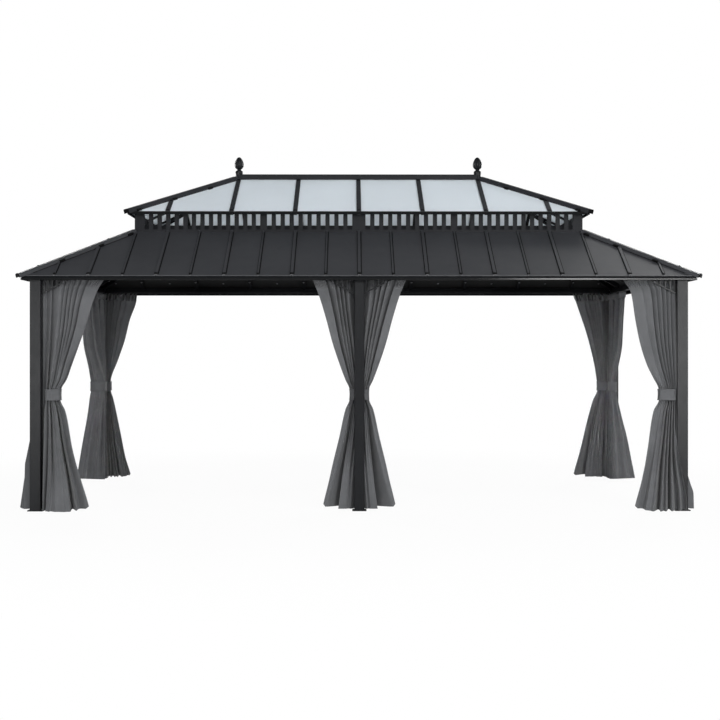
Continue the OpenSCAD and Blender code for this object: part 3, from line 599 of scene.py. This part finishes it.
def curtain(name, node_name, side, end, middle, seed, edge_points, folds, covers):
    """A sheet from its rail to its hem, drawn in at the tie, with the folds of one table."""
    rng = random.Random(seed)
    edge = smooth_curve(edge_points)
    inner = smooth_curve(MIDDLE_INNER if middle else COVER_INNER if covers else CORNER_INNER)
    outer = smooth_curve(MIDDLE_OUTER if middle else covers or OUTER.get(name, CORNER_OUTER))
    deepest = smooth_curve(FOLD_DEPTH)
    place = post_place(side, end, middle)
    face = -1 if side == "back" else 1
    rows = np.array(folds, float)
    rows[:, :6] *= np.array([[rng.uniform(1 - UNEVEN, 1 + UNEVEN) for _ in range(6)] for _ in folds])
    rows[:, 3:6] = np.minimum(rows[:, 3:6], 1)
    sway = [rng.uniform(-1, 1) for _ in SWAY_RATES]
    s = np.linspace(0, 1, COLUMNS + 1)
    arch = np.sin(np.pi * s)
    behind = "back" in name
    ruffles = BACK_RUFFLES if behind else RUFFLES
    ruffle = np.sin(2 * np.pi * ruffles * s + RUFFLE_DRIFT * np.sin(RUFFLE_DRIFTS * s + seed))
    ruffled = sum(HEAD_RUN) / 2 + (HEAD_RUN[1] - HEAD_RUN[0]) / 2 * ruffle
    gather = np.sin(2 * np.pi * GATHERS * s + GATHER_DRIFT * np.sin(GATHER_DRIFTS * s + seed))
    reach = GATHER_REACH * (1 + REACH_DRIFT * np.sin(REACH_DRIFTS * s + 2 * seed))
    corner = HEM_LIFT * sum(step(share, 1.0, s) for share in HEM_CORNER) / len(HEM_CORNER)
    points = []
    for z in LEVELS:
        z = float(z)
        free, low, high = edge(z), inner(z), outer(z)
        start = START.get(name, EDGE_GAP) * float(START_BELOW + (1 - START_BELOW) * step(*START_TAPER, z))
        if middle:
            start = MIDDLE_START + (EDGE_GAP - MIDDLE_START) * float(step(*MIDDLE_SLIDE, z))
        head = float(step(TOP_Z - HEADER - HEADER_FADE[0], TOP_Z - HEADER + HEADER_FADE[1], z))
        wave, drawn = fold_wave(rows, z, s)
        u = start + (free - start) * (s + drawn)
        swing = sum(part * math.sin(rate * z) for part, rate in zip(sway, SWAY_RATES))
        u = u + SWAY * swing * arch
        u = np.clip(u, start, free)
        depth = min((high - low) / 2, deepest(z))
        bell = (high - low - 2 * depth) * arch ** BELL
        b = low + depth + bell + depth * face * wave * (1 - HEADER_CALM * head)
        if covers:
            wave, b, set_back = cover_folds(z, s, seed, low, high)
            u = u - set_back
        b[1:-1] = (b[:-2] + 2 * b[1:-1] + b[2:]) / 4
        near_tie = np.exp(-((z - TIE_Z) / reach) ** 2) * arch ** GATHER_ENDS
        b = b + RUFFLE_DEPTH * head * ruffle + GATHER_DEPTH * near_tie * gather
        b = np.clip(b, low, high)
        if name in START:
            back = np.clip(1 - s / EDGE_RETURN, 0, 1)
            u = u - (start - RETURN_GAP) * back
            b = b + (max(low, POST_INNER_B) + RETURN_RUN - b) * back
        if name in LAPPED:
            lap, share = LAPPED[name]
            u = u - lap * float(step(*LAP_HEIGHTS, z)) * np.clip(1 - s / share, 0, 1)
            before_post = np.maximum(b, POST_OUTER_B + LAP_GAP)
            b = b + (before_post - b) * step(*LAP_NEAR, u) * float(step(*LAP_READY, z))
        if behind:
            b = b + HEAD_RUFFLED * head * (ruffled - b)
        if covers:
            b = b + COVER_LEAN * float(step(*LEAN_HEIGHTS, z)) * s
        lift = float(step(HEM_REACH, 0.0, z)) * (corner + HEM_WAVE * (1 - wave))
        if behind:
            lift = lift - RUFFLE_DIP * float(step(TOP_Z - HEADER, TOP_Z, z)) * (1 - ruffle)
        points.append([(*place(u[k], b[k]), z + lift[k]) for k in range(COLUMNS + 1)])
    bm = bmesh.new()
    grid_faces(bm, points)
    obj = add_piece(name, bm, CLOTH)
    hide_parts(node_name)
    return obj


# Ties: the run of the band at each kind of post, its section, its creases and its lapped end
MIDDLE_TIE_RUN, CORNER_TIE_RUN = (1.5215, 1.6025), (1.6005, 1.6865)
COVER_TIE_INNER, COVER_TIE_PROUD = 1.568, 0.0055
TIE_INSET, TIE_PROUD = 0.0025, 0.006
TIE_RIM = [(-0.5, -0.0005), (-0.49, 0.0008), (-0.44, 0.001), (-0.4, -0.0004), (-0.2, -0.0012)]
TIE_OUTSIDE = TIE_RIM + [(0.0, -0.0016)] + [(-share, out) for share, out in reversed(TIE_RIM)]
TIE_THICK = 0.002
TIE_SHARE = 0.97
TIE_SIDES = 96
TIE_SQUARE = 3.2
# Creases: depth, how many waves, and the ranges of their count, phase and twist
CREASE, CREASE_WAVES = 0.0007, 3
WAVE_COUNT, WAVE_PHASE, WAVE_TWIST = (3, 9), (0, 6.3), (-2, 2)
TWIST_RATE = 3
# The end that laps over: its step, its length and place in turns, and how soon it starts and ends
LAP_STEP, LAP_LENGTH = 0.0024, 0.2
LAP_PLACE = (0.2, 0.7)
LAP_STARTS, LAP_ENDS = 0.05, 0.012
TIE_TILT = 0.0015


def tie_band(name, side, end, middle, seed, width, covers, start):
    """A cloth band around a curtain's waist: two faces, a sewn rim, and a few creases."""
    rng = random.Random(seed)
    place = post_place(side, end, middle)
    low, high = MIDDLE_TIE_RUN if middle else CORNER_TIE_RUN
    if covers:
        low, high = COVER_TIE_INNER, smooth_curve(covers)(TIE_Z) + COVER_TIE_PROUD
    u0, u1 = start - TIE_INSET, width + TIE_PROUD
    cu, cb = (u0 + u1) / 2, (low + high) / 2
    hu, hb = (u1 - u0) / 2, (high - low) / 2
    lap = rng.uniform(*LAP_PLACE)
    waves = [
        (rng.randint(*WAVE_COUNT), rng.uniform(*WAVE_PHASE), rng.uniform(*WAVE_TWIST))
        for _ in range(CREASE_WAVES)
    ]
    inside = [(share, out - TIE_THICK) for share, out in reversed(TIE_OUTSIDE)]
    rows = []
    for share, out in TIE_OUTSIDE + inside:
        ring = []
        for i, a in enumerate(turns(TIE_SIDES)):
            c, s = math.cos(a), math.sin(a)
            r = (abs(c) ** TIE_SQUARE + abs(s) ** TIE_SQUARE) ** (-1 / TIE_SQUARE)
            past = i / TIE_SIDES - lap
            crease = sum(math.sin(n * a + p + t * share * TWIST_RATE) for n, p, t in waves) * CREASE
            crease += LAP_STEP * float(step(0, LAP_STARTS, past) * step(0, LAP_ENDS, LAP_LENGTH - past))
            scale_u = 1 + (out + crease) / hu
            scale_b = 1 + (out + crease) / hb
            z = TIE_Z + share * TIE_H * TIE_SHARE + TIE_TILT * math.sin(2 * a + waves[0][1])
            ring.append((*place(cu + hu * r * c * scale_u, cb + hb * r * s * scale_b), z))
        rows.append(ring)
    bm = bmesh.new()
    grid = grid_faces(bm, rows, wrap=True)
    for k in range(TIE_SIDES):
        n = (k + 1) % TIE_SIDES
        bm.faces.new((grid[-1][k], grid[-1][n], grid[0][n], grid[0][k]))
    bmesh.ops.recalc_face_normals(bm, faces=bm.faces)
    uv = bm.loops.layers.uv.new("cloth")
    for f in bm.faces:
        for loop in f.loops:
            loop[uv].uv = (loop.vert.co.x + loop.vert.co.y, loop.vert.co.z)
    obj = add_piece(name, bm, TIE_CLOTH)
    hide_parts("curtain_ties")
    return obj


# Hooks: bent wire between the rail and the head of a curtain
OFF_AXIS = Vector((0.31, 0.17, 0.93))
WIRE_RADIUS, WIRE_SIDES = 0.0013, 6
HOOKS, HOOK_BENDS = 9, 9
HOOK_RUN, HOOK_RADIUS, HOOK_DROP = 1.611, 0.007, 0.008
# Where the bend starts and how far it turns, in half turns
HOOK_FROM, HOOK_TURN = 0.5, 1.25
HOOK_FROM_POST, HOOK_FROM_EDGE = 0.02, 0.03
HOOK_IN_RAIL = 0.0005
HEAD_Z = 2.04


def tube(bm, path, radius):
    """A round wire along a path of points."""
    rows = []
    for i, p in enumerate(path):
        ahead = Vector(path[min(i + 1, len(path) - 1)]) - Vector(path[max(i - 1, 0)])
        across = ahead.cross(OFF_AXIS).normalized()
        up = ahead.cross(across).normalized()
        spokes = [math.cos(a) * across + math.sin(a) * up for a in turns(WIRE_SIDES)]
        rows.append([Vector(p) + radius * spoke for spoke in spokes])
    capped(bm, rows)


def curtain_hooks(name, side, end, middle, edge_points):
    """The hooks of one curtain."""
    place = post_place(side, end, middle)
    width = smooth_curve(edge_points)(HEAD_Z)
    start = MIDDLE_HALF + HOOK_FROM_POST if middle else HOOK_FROM_POST
    bm = bmesh.new()
    for i in range(HOOKS):
        u = start + (width - HOOK_FROM_EDGE - start) * i / (HOOKS - 1)
        path = []
        for j in range(HOOK_BENDS):
            a = math.pi * (HOOK_FROM + HOOK_TURN * j / (HOOK_BENDS - 1))
            z = rail_low.z - HOOK_DROP + HOOK_RADIUS * math.sin(a)
            path.append((*place(u, HOOK_RUN + HOOK_RADIUS * math.cos(a)), z))
        tube(bm, [(path[0][0], path[0][1], rail_low.z + HOOK_IN_RAIL)] + path, WIRE_RADIUS)
    bmesh.ops.recalc_face_normals(bm, faces=bm.faces)
    return add_piece(name, bm, STEEL)


# Name, solid that it stands for, side, end of the bay, seed, free edge and folds
CURTAINS = [
    ("front_left", "curtains_front_left", "front", -1, 3, FRONT_LEFT_EDGE, DRAPED_FOLDS),
    ("left_front", "curtains_front_left", "left", 1, 4, FRONT_LEFT_EDGE, PLAIN_FOLDS),
    ("front_middle_left", "curtains_front_middle", "front", -1, 5, MIDDLE_EDGE, MIDDLE_FOLDS),
    ("front_middle_right", "curtains_front_middle", "front", 1, 21, MIDDLE_EDGE, MIDDLE_FOLDS),
    ("front_right", "curtains_front_right", "front", 1, 6, FRONT_RIGHT_EDGE, PLAIN_FOLDS),
    ("right_front", "curtains_front_right", "right", -1, 7, FRONT_RIGHT_EDGE, SWEPT_FOLDS),
    ("back_left", "curtains_back_left", "back", 1, 8, BACK_LEFT_EDGE, PLAIN_FOLDS),
    ("left_back", "curtains_back_left", "left", -1, 9, LEFT_BACK_EDGE, PLAIN_FOLDS),
    ("back_middle_left", "curtains_back_middle", "back", 1, 10, BACK_MIDDLE_EDGE, MIDDLE_FOLDS),
    ("back_middle_right", "curtains_back_middle", "back", -1, 22, BACK_MIDDLE_EDGE, MIDDLE_FOLDS),
    ("back_right", "curtains_back_right", "back", -1, 11, BACK_RIGHT_EDGE, SWEPT_FOLDS),
    ("right_back", "curtains_back_right", "right", 1, 12, RIGHT_BACK_EDGE, PLAIN_FOLDS),
]
# Those that hide the ones behind them, with their outermost reach
COVERING = {"left_back": LEFT_COVER_OUTER, "right_back": RIGHT_COVER_OUTER}
for name, node_name, side, end, seed, points, folds in CURTAINS:
    middle = "middle" in name
    covers = COVERING.get(name)
    start = START.get(name + "_curtain", EDGE_GAP)
    waist = smooth_curve(points)(TIE_Z)
    cloth = curtain(name + "_curtain", node_name, side, end, middle, seed, points, folds, covers)
    tie = tie_band(name + "_tie", side, end, middle, seed, waist, covers, start)
    hooks = curtain_hooks(name + "_hooks", side, end, middle, points)


# Finials: a lobed bulb on a neck, over a collar of leaves. Rows are height, radius and depth of the lobes.
FINIAL = [
    (0.0, 0.037, 0.0), (0.012, 0.037, 0.0), (0.016, 0.035, 0.3), (0.034, 0.035, 0.6),
    (0.046, 0.037, 0.9), (0.058, 0.0385, 1.0), (0.066, 0.038, 0.9), (0.0715, 0.033, 0.6),
    (0.076, 0.0255, 0.3), (0.08, 0.0205, 0.0), (0.084, 0.0185, 0.0), (0.088, 0.02, 0.1),
    (0.093, 0.0265, 0.4), (0.101, 0.035, 0.8), (0.112, 0.0415, 1.0), (0.126, 0.0455, 1.0),
    (0.14, 0.0458, 1.0), (0.156, 0.0425, 1.0), (0.172, 0.0365, 0.9), (0.187, 0.0293, 0.8),
    (0.198, 0.0218, 0.5), (0.2055, 0.0138, 0.2), (0.2095, 0.004, 0.0),
]
FINIAL_SIDES = 96
LOBES = 4
LOBE_DEPTH, LOBE_ROUND = 0.16, 0.6
COLLAR_TOP = 0.07
for s, name in ((-1, "finial_left"), (1, "finial_right")):
    rows = []
    for z, r, lobed in FINIAL:
        shift = math.pi / 2 if z < COLLAR_TOP else 0
        ring = []
        for a in turns(FINIAL_SIDES):
            lobe = abs(math.cos(LOBES * a + shift)) ** LOBE_ROUND
            rr = r * (1 - LOBE_DEPTH * lobed * (1 - lobe))
            ring.append((s * RIDGE_HALF + rr * math.cos(a), rr * math.sin(a), bulb_low.z + z))
        rows.append(ring)
    bm = bmesh.new()
    capped(bm, rows)
    bmesh.ops.recalc_face_normals(bm, faces=bm.faces)
    piece = add_piece(name, bm, FRAME_METAL)
    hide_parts("finials")


# Trim: small fittings, each set on the surface that carries it
UP = Vector((0, 0, 1))
SKY_Z = 4
SEAM_PITCH = 0.295
SIDES = ("front", "right", "back", "left")
ROUND_SIDES = 24
EAVE_INSET = 0.003
trim_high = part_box("upper_eave_trim")[1]
eave_b = fascia_high.y - EAVE_INSET
vent_b = -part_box("vent_front")[0].y


def surface(node_name):
    """Casts rays on one solid of the frame."""
    mesh = nodes[node_name].data
    return BVHTree.FromPolygons([v.co for v in mesh.vertices], [tuple(p.vertices) for p in mesh.polygons])


def above(x, y):
    """A point over the roof, for plumb lines."""
    return Vector((x, y, SKY_Z))


def block(bm, centre, along, across, size, bevel):
    """A small rounded block: lengths along, across and out of the surface."""
    along, across = along.normalized(), across.normalized()
    out = along.cross(across)
    turn = Matrix((along, across, out)).transposed().to_4x4()
    matrix = Matrix.Translation(centre) @ turn @ Matrix.Diagonal((*size, 1))
    made = bmesh.ops.create_cube(bm, size=1, matrix=matrix)
    edges = {e for v in made["verts"] for e in v.link_edges}
    bmesh.ops.bevel(bm, geom=list(edges), offset=bevel, segments=2, affect="EDGES", profile=0.5)


# Rows of a bolt: radius, height and corners, in radii of its head
HEX = 6
BOLT = [
    (1.5, -0.2, ROUND_SIDES), (1.5, 0.22, ROUND_SIDES), (1.4, 0.3, ROUND_SIDES),
    (1.0, 0.3, HEX), (1.0, 0.8, HEX), (0.82, 0.98, HEX), (0.2, 1.0, HEX),
]


def bolt(bm, base, out, radius):
    """A washer under a chamfered six-sided head."""
    out = out.normalized()
    side = out.orthogonal().normalized()
    up = out.cross(side)
    flat = math.pi / HEX
    rows = []
    for r, h, corners in BOLT:
        ring = []
        for a in turns(ROUND_SIDES):
            rr = r * math.cos(flat) / math.cos((a + flat) % (2 * flat) - flat) if corners == HEX else r
            ring.append(base + radius * (rr * (math.cos(a) * side + math.sin(a) * up) + h * out))
        rows.append(ring)
    capped(bm, rows)


def add_trim(name, bm, material):
    bmesh.ops.recalc_face_normals(bm, faces=bm.faces)
    piece = add_piece(name, bm, material, smooth=False)


def edging(name, profile, b0, z0, material):
    """A mitred strip around the four sides: its profile is (out from b0, up from z0)."""
    bm = bmesh.new()
    for side in SIDES:
        place = side_place(side)
        rows = []
        for s in (-1, 1):
            half = s * stretch(side)
            rows.append([(*place(half + s * (b0 + out), -(b0 + out)), z0 + up) for out, up in profile])
        grid_faces(bm, rows)
    add_trim(name, bm, material)


# A rounded strip along the foot of the fascia, and a lip over the lower edge of the panes
EAVE_PROFILE = [
    (-0.002, 0.0005), (0.0015, 0.0008), (0.004, 0.0018), (0.0048, 0.0032), (0.00425, 0.0157), (0.003, 0.0172),
    (0.001, 0.0178), (-0.002, 0.018),
]
LIP_PROFILE = [
    (-0.022, 0.0095), (-0.0215, 0.012), (-0.014, 0.0093), (-0.005, 0.0058), (0.0005, 0.003),
    (0.0018, -0.0005), (0.0018, -0.006), (-0.001, -0.007),
]
edging("eave_strip", EAVE_PROFILE, eave_b, fascia_low.z, EAVE_STRIP)
edging("pane_lip", LIP_PROFILE, trim_high.y, trim_high.z, BLACK_PLASTIC)

# Black strips beside the seams and ribs of the lower roof, as painted shadow of their raised sides, plugs in
# their feet, and bolts under them
CAP_HALF, RIB_HALF = 0.013, 0.007
WIDE_SHADE_STRIP, THIN_SHADE_STRIP, SHADE_STRIP_THICK = 0.01, 0.005, 0.005
SHADE_STRIP_BEVEL = 0.0012
STRIP_FROM_VENT, STRIP_FROM_HIP, STRIP_FROM_EAVE = 0.012, 0.06, 0.03
STRIP_LEAST = 0.06
FOOT_FROM_EAVE, FOOT_SINK = 0.011, 0.0065
FOOT_LENGTH, FOOT_MARGIN, FOOT_THICK, FOOT_BEVEL = 0.03, 0.004, 0.018, 0.004
RAFTER_Z = 2.15
BOLT_B, BOLT_RAY_Z = 1.585, 1.9
ROOF_BOLT = 0.0075
seam_tops, rafter_faces = surface("seam_caps"), surface("rafters")
roof_sheets = {side: surface("lower_roof_" + side) for side in SIDES}
seam_shade_strips, feet, under_bolts = bmesh.new(), bmesh.new(), bmesh.new()
for side in SIDES:
    place = side_place(side)
    sheets = roof_sheets[side]
    across = above(*place(1, 0)) - above(*place(0, 0))
    count = int((stretch(side) + eave_b) / SEAM_PITCH)
    for i in range(-count, count + 1):
        x = i * SEAM_PITCH
        capped_seam = i % 2 == 0
        top = max(vent_b + STRIP_FROM_VENT, abs(x) - stretch(side) + STRIP_FROM_HIP)
        half = CAP_HALF if capped_seam else RIB_HALF
        # A wide and a thin black strip beside each seam: painted shadow
        for offset, width in ((half + WIDE_SHADE_STRIP / 2, WIDE_SHADE_STRIP), (-half - THIN_SHADE_STRIP / 2, THIN_SHADE_STRIP)):
            ends = []
            for b in (top, eave_b - STRIP_FROM_EAVE):
                hit = sheets.ray_cast(above(*place(x + offset, -b)), -UP)[0]
                if hit is not None:
                    ends.append(hit)
            if len(ends) == 2 and (ends[1] - ends[0]).length > STRIP_LEAST:
                run = ends[1] - ends[0]
                size = (run.length, width, SHADE_STRIP_THICK)
                block(seam_shade_strips, (ends[0] + ends[1]) / 2, run, across, size, SHADE_STRIP_BEVEL)
        seam = seam_tops if capped_seam else sheets
        hit, normal, _, _ = seam.ray_cast(above(*place(x, -(eave_b - FOOT_FROM_EAVE))), -UP)
        if hit is not None:
            size = (FOOT_LENGTH, 2 * half + FOOT_MARGIN, FOOT_THICK)
            block(feet, hit - FOOT_SINK * normal, normal.cross(across), across, size, FOOT_BEVEL)
        inside, ahead = Vector((*place(x, 0), RAFTER_Z)), Vector((*place(x, -1), RAFTER_Z))
        hit, normal, _, _ = rafter_faces.ray_cast(inside, ahead - inside)
        if hit is None:
            hit, normal, _, _ = sheets.ray_cast(Vector((*place(x, -BOLT_B), BOLT_RAY_Z)), UP)
        if hit is not None:
            bolt(under_bolts, hit, normal, ROOF_BOLT)
add_trim("painted_seam_shadows", seam_shade_strips, BLACK_PLASTIC)
add_trim("seam_feet", feet, BLACK_PLASTIC)
add_trim("roof_bolts", under_bolts, STEEL)


def first_hit(surfaces, start):
    """Where a plumb line first meets one of several surfaces, and the face's normal there."""
    for tree in surfaces.values():
        hit, normal, _, _ = tree.ray_cast(start, -UP)
        if hit is not None:
            return hit, normal
    return None, None


# Clips beside the hip caps, black strips along the lower caps as painted shadow, bolts along them, and plugs
# in their ends
lower_caps, upper_caps = surface("lower_hip_caps"), surface("upper_hip_bars")
panes = {side: surface("upper_panes_" + side) for side in SIDES}
clips_and_shade_strips, bolts, plugs = bmesh.new(), bmesh.new(), bmesh.new()
# Caps, the sheets beside them, places along the hip, distance from its middle, and size of a clip
CLIP_ROWS = (
    (upper_caps, panes, (0.285, 0.59, 0.885), 0.046, (0.05, 0.016, 0.024)),
    (lower_caps, roof_sheets, (0.95, 1.18, 1.475), 0.037, (0.056, 0.016, 0.026)),
)
CLIP_RISE, CLIP_BEVEL = 0.009, 0.003
# Black strips beside the lower hip caps, painted shadow of the gap under them: distance from the hip, width,
# thickness and run
HIP_SHADE_ASIDE, HIP_SHADE_WIDTH, HIP_SHADE_THICK = 0.035, 0.009, 0.006
HIP_SHADE_SPAN = (vent_b + 0.03, hip_high.y - 0.12)
HIP_BOLTS, HIP_BOLT, HIP_BOLT_SINK = (1.109, 1.636), 0.008, 0.001
BACK_STEP = 0.02
PLUG = [(1.0, -0.3), (1.0, 0.25), (0.92, 0.45), (0.7, 0.55), (0.3, 0.58), (0.28, 0.4), (0.05, 0.4)]
PLUG_RADIUS = 0.018
PLUG_RAY = 0.3
# Caps, the place near their lower end, and how far below their top a plug sits
PLUG_ROWS = ((upper_caps, trim_high.y + 0.02, 0.015), (lower_caps, hip_high.y - 0.025, 0.012))
for sx in (-1, 1):
    for sy in (-1, 1):
        outward = Vector((sx, sy, 0)).normalized()
        across = Vector((-sy, sx, 0)).normalized()

        def over_hip(b):
            return above(sx * (RIDGE_HALF + b), sy * b)

        def on_hip(caps, b):
            return caps.ray_cast(over_hip(b), -UP)[0]

        for caps, sheets, spots, aside, size in CLIP_ROWS:
            for b in spots:
                along = on_hip(caps, b) - on_hip(caps, b - BACK_STEP)
                for s in (-1, 1):
                    hit, normal = first_hit(sheets, over_hip(b) + s * aside * across)
                    if hit is not None:
                        block(clips_and_shade_strips, hit + CLIP_RISE * normal, along, normal.cross(along), size, CLIP_BEVEL)
        # Black strips along both edges of the lower hip cap: painted shadow
        for s in (-1, 1):
            ends = []
            for b in HIP_SHADE_SPAN:
                ends.append(first_hit(roof_sheets, over_hip(b) + s * HIP_SHADE_ASIDE * across)[0])
            if None not in ends:
                run = ends[1] - ends[0]
                size = (run.length, HIP_SHADE_WIDTH, HIP_SHADE_THICK)
                block(clips_and_shade_strips, (ends[0] + ends[1]) / 2, run, across, size, SHADE_STRIP_BEVEL)
        for b in HIP_BOLTS:
            here, there = on_hip(lower_caps, b), on_hip(lower_caps, b - BACK_STEP)
            normal = (here - there).cross(across)
            bolt(bolts, here - HIP_BOLT_SINK * UP, normal if normal.z > 0 else -normal, HIP_BOLT)
        for caps, b, drop in PLUG_ROWS:
            here = on_hip(caps, b)
            if here is None:
                continue
            hit = caps.ray_cast(here - drop * UP + PLUG_RAY * outward, -outward)[0]
            if hit is None:
                continue
            rows = []
            for r, h in PLUG:
                ring = []
                for a in turns(ROUND_SIDES):
                    spoke = r * (math.cos(a) * across + math.sin(a) * UP)
                    ring.append(hit + PLUG_RADIUS * (spoke + h * outward))
                rows.append(ring)
            capped(plugs, rows)
add_trim("hip_clips_and_shadows", clips_and_shade_strips, BLACK_PLASTIC)
add_trim("hip_bolts", bolts, FRAME_METAL)
add_trim("hip_plugs", plugs, FRAME_METAL)

# Pads at both ends of the glazing bars, and bolts through the braces
PAD_SIZE, PAD_BEVEL = (0.026, 0.03, 0.008), 0.003
PAD_FROM_RIDGE, PAD_FROM_EAVE = 0.075, 0.032
BRACE_BOLT, BRACE_BOLT_Z, BRACE_RAY_B = 0.006, 2.003, 2.2
BOLT_FROM_CORNER, BOLT_FROM_MIDDLE = 0.189, 0.233
FACES_UP = 0.5
bar_tops = surface("glazing_bars")
pads, brace_bolts = bmesh.new(), bmesh.new()
for side in SIDES:
    place = side_place(side)
    across = above(*place(1, 0)) - above(*place(0, 0))
    count = int((stretch(side) + trim_high.y) / (2 * SEAM_PITCH))
    for i in range(-count, count + 1):
        x = 2 * i * SEAM_PITCH
        for b in (max(0.0, abs(x) - stretch(side)) + PAD_FROM_RIDGE, trim_high.y - PAD_FROM_EAVE):
            hit, normal, _, _ = bar_tops.ray_cast(above(*place(x, -b)), -UP)
            if hit is not None and normal.z > FACES_UP:
                block(pads, hit, normal.cross(across), across, PAD_SIZE, PAD_BEVEL)
    braces = surface("braces_" + side)
    reach = stretch(side) + POST_INNER_B - BOLT_FROM_CORNER
    spots = (-reach, reach)
    if stretch(side):
        spots += (-BOLT_FROM_MIDDLE, BOLT_FROM_MIDDLE)
    for x in spots:
        outside = Vector((*place(x, -BRACE_RAY_B), BRACE_BOLT_Z))
        inside = Vector((*place(x, -1), BRACE_BOLT_Z))
        hit, normal, _, _ = braces.ray_cast(outside, inside - outside)
        if hit is not None:
            bolt(brace_bolts, hit, normal, BRACE_BOLT)
add_trim("bar_pads", pads, BLACK_PLASTIC)
add_trim("brace_bolts", brace_bolts, STEEL)


# Light, floor and camera
WHITE = (1, 1, 1, 1)
REFLECTED_SHARE = 0.36
AMBIENT_COLOUR, AMBIENT = (0.93, 0.96, 1.0, 1), 0.17
# The white backdrop ends between these slopes of a ray
WALL_FROM, WALL_TO = 0.3, 0.36
FLOOR_SIZE = 200
FLOOR_COLOUR, FLOOR_ROUGH = (0.7, 0.7, 0.7, 1), 0.9
# The floor keeps some shadow near the part, and is plain white further off
SHADOW_NEAR, SHADOW_FAR, SHADOW_WHITE = 4.0, 7.0, 0.95


def shown_white(tree, shader, white, share):
    """White, by a share, to the camera and through glazing, paler in reflections; else the given shader."""
    path = tree.nodes.new("ShaderNodeLightPath")
    seen = math_node(tree, "MAXIMUM", path.outputs["Is Camera Ray"], path.outputs["Is Transmission Ray"])
    mirrored = math_node(tree, "MULTIPLY", path.outputs["Is Glossy Ray"], REFLECTED_SHARE)
    seen = math_node(tree, "MAXIMUM", seen, mirrored)
    seen = math_node(tree, "MULTIPLY", seen, share)
    mix = tree.nodes.new("ShaderNodeMixShader")
    tree.links.new(seen, mix.inputs["Fac"])
    tree.links.new(shader, mix.inputs[1])
    tree.links.new(white, mix.inputs[2])
    return mix.outputs["Shader"]


world = bpy.data.worlds.new("studio")
scene.world = world
world.use_nodes = True
tree = world.node_tree
ambient = tree.nodes["Background"]
ambient.inputs["Color"].default_value = AMBIENT_COLOUR
ambient.inputs["Strength"].default_value = AMBIENT
white = add_node(tree, "ShaderNodeBackground", Color=WHITE, Strength=1.0)
coords = tree.nodes.new("ShaderNodeTexCoord")
ray = split_xyz(tree, coords.outputs["Generated"])
wall = add_node(tree, "ShaderNodeMapRange", From_Min=WALL_FROM, From_Max=WALL_TO, To_Min=1.0, To_Max=0.0)
tree.links.new(ray["Z"], wall.inputs["Value"])
out = shown_white(tree, ambient.outputs["Background"], white.outputs["Background"], wall.outputs["Result"])
tree.links.new(out, tree.nodes["World Output"].inputs["Surface"])

floor_mat, tree, bsdf = new_material("pale_floor")
bsdf.inputs["Base Color"].default_value = FLOOR_COLOUR
bsdf.inputs["Roughness"].default_value = FLOOR_ROUGH
glow = add_node(tree, "ShaderNodeEmission", Color=WHITE, Strength=1.0)
geometry = tree.nodes.new("ShaderNodeNewGeometry")
distance = tree.nodes.new("ShaderNodeVectorMath")
distance.operation = "LENGTH"
tree.links.new(geometry.outputs["Position"], distance.inputs[0])
clear = add_node(
    tree, "ShaderNodeMapRange", From_Min=SHADOW_NEAR, From_Max=SHADOW_FAR, To_Min=SHADOW_WHITE, To_Max=1.0
)
tree.links.new(distance.outputs["Value"], clear.inputs["Value"])
out = shown_white(tree, bsdf.outputs["BSDF"], glow.outputs["Emission"], clear.outputs["Result"])
tree.links.new(out, tree.nodes["Material Output"].inputs["Surface"])
bpy.ops.mesh.primitive_plane_add(size=FLOOR_SIZE, location=(0, 0, 0))
floor = bpy.context.object
floor.name = "floor"
floor.data.materials.append(floor_mat)


def area_light(name, place, target, size, power, spread=math.pi):
    data = bpy.data.lights.new(name, "AREA")
    data.shape = "RECTANGLE"
    data.size, data.size_y = size
    data.energy = power
    data.spread = spread
    obj = bpy.data.objects.new(name, data)
    obj.location = place
    obj.rotation_euler = (Vector(target) - Vector(place)).to_track_quat("-Z", "Y").to_euler()
    scene.collection.objects.link(obj)


area_light("key_right", (6, -11, 11), (0, 0, 1.5), (5, 5), 680)
area_light("fill_left", (-6, -11, 10), (0, 0, 1.5), (5, 5), 220)
area_light("front_low", (0, -16, 6.4), (0, 1.6, 0.5), (7, 1.4), 800)
area_light("low_right", (11, -12, 2.6), (0, 0, 1.0), (5, 4), 215)
area_light("low_left", (-11, -12, 2.6), (0, 0, 1.0), (5, 4), 205)
area_light("post_gloss_right", (5.7, -14, 1.8), (2.8, -1.7, 1.2), (1.8, 3.6), 600)
area_light("post_gloss_left", (-5.7, -14, 1.2), (-2.8, -1.7, 1.0), (1.6, 2.6), 290)
area_light("eave_gloss", (3.75, -14, 3.75), (2.0, -1.7, 2.0), (1.7, 0.9), 125)
area_light("roof_gloss", (7, 6, 10.5), (1, 0, 2.3), (6, 6), 290)
area_light("side_right", (9.8, 0, 2.9), (2.6, -1.2, 2.2), (2, 2), 70)
area_light("side_left", (-9, -4, 1.5), (-2.8, 1.6, 0.9), (2.5, 2), 40)
# Narrow lamps, through the bays to the curtains in the back corners
NARROW = math.radians(10)
area_light("deep_right", (-3, -13, 1.6), (2.55, 1.6, 0.8), (0.5, 0.5), 3.7, NARROW)
area_light("deep_left", (3, -13, 1.6), (-2.45, 1.6, 0.7), (0.5, 0.5), 1.7, NARROW)
area_light("back_right", (8, 14, 5), (0, 0, 1.2), (5, 4), 950)
area_light("back_left", (-8, 14, 5), (0, 0, 1.2), (5, 4), 950)

camera_data = bpy.data.cameras.new("camera")
camera_data.sensor_width = SENSOR_MM
camera_data.lens = SENSOR_MM * FOCAL_PX / IMAGE_PX
camera_data.shift_y = (HORIZON_PX - IMAGE_PX / 2) / IMAGE_PX
camera = bpy.data.objects.new("camera", camera_data)
camera.location = CAMERA
turn = math.atan2(-CAMERA.x, FRONT_Y - CAMERA.y) + math.atan((IMAGE_PX / 2 - CENTRE_PX) / FOCAL_PX)
camera.rotation_euler = (math.pi / 2, 0, -turn)
scene.collection.objects.link(camera)
scene.camera = camera

scene.view_settings.view_transform = "Standard"
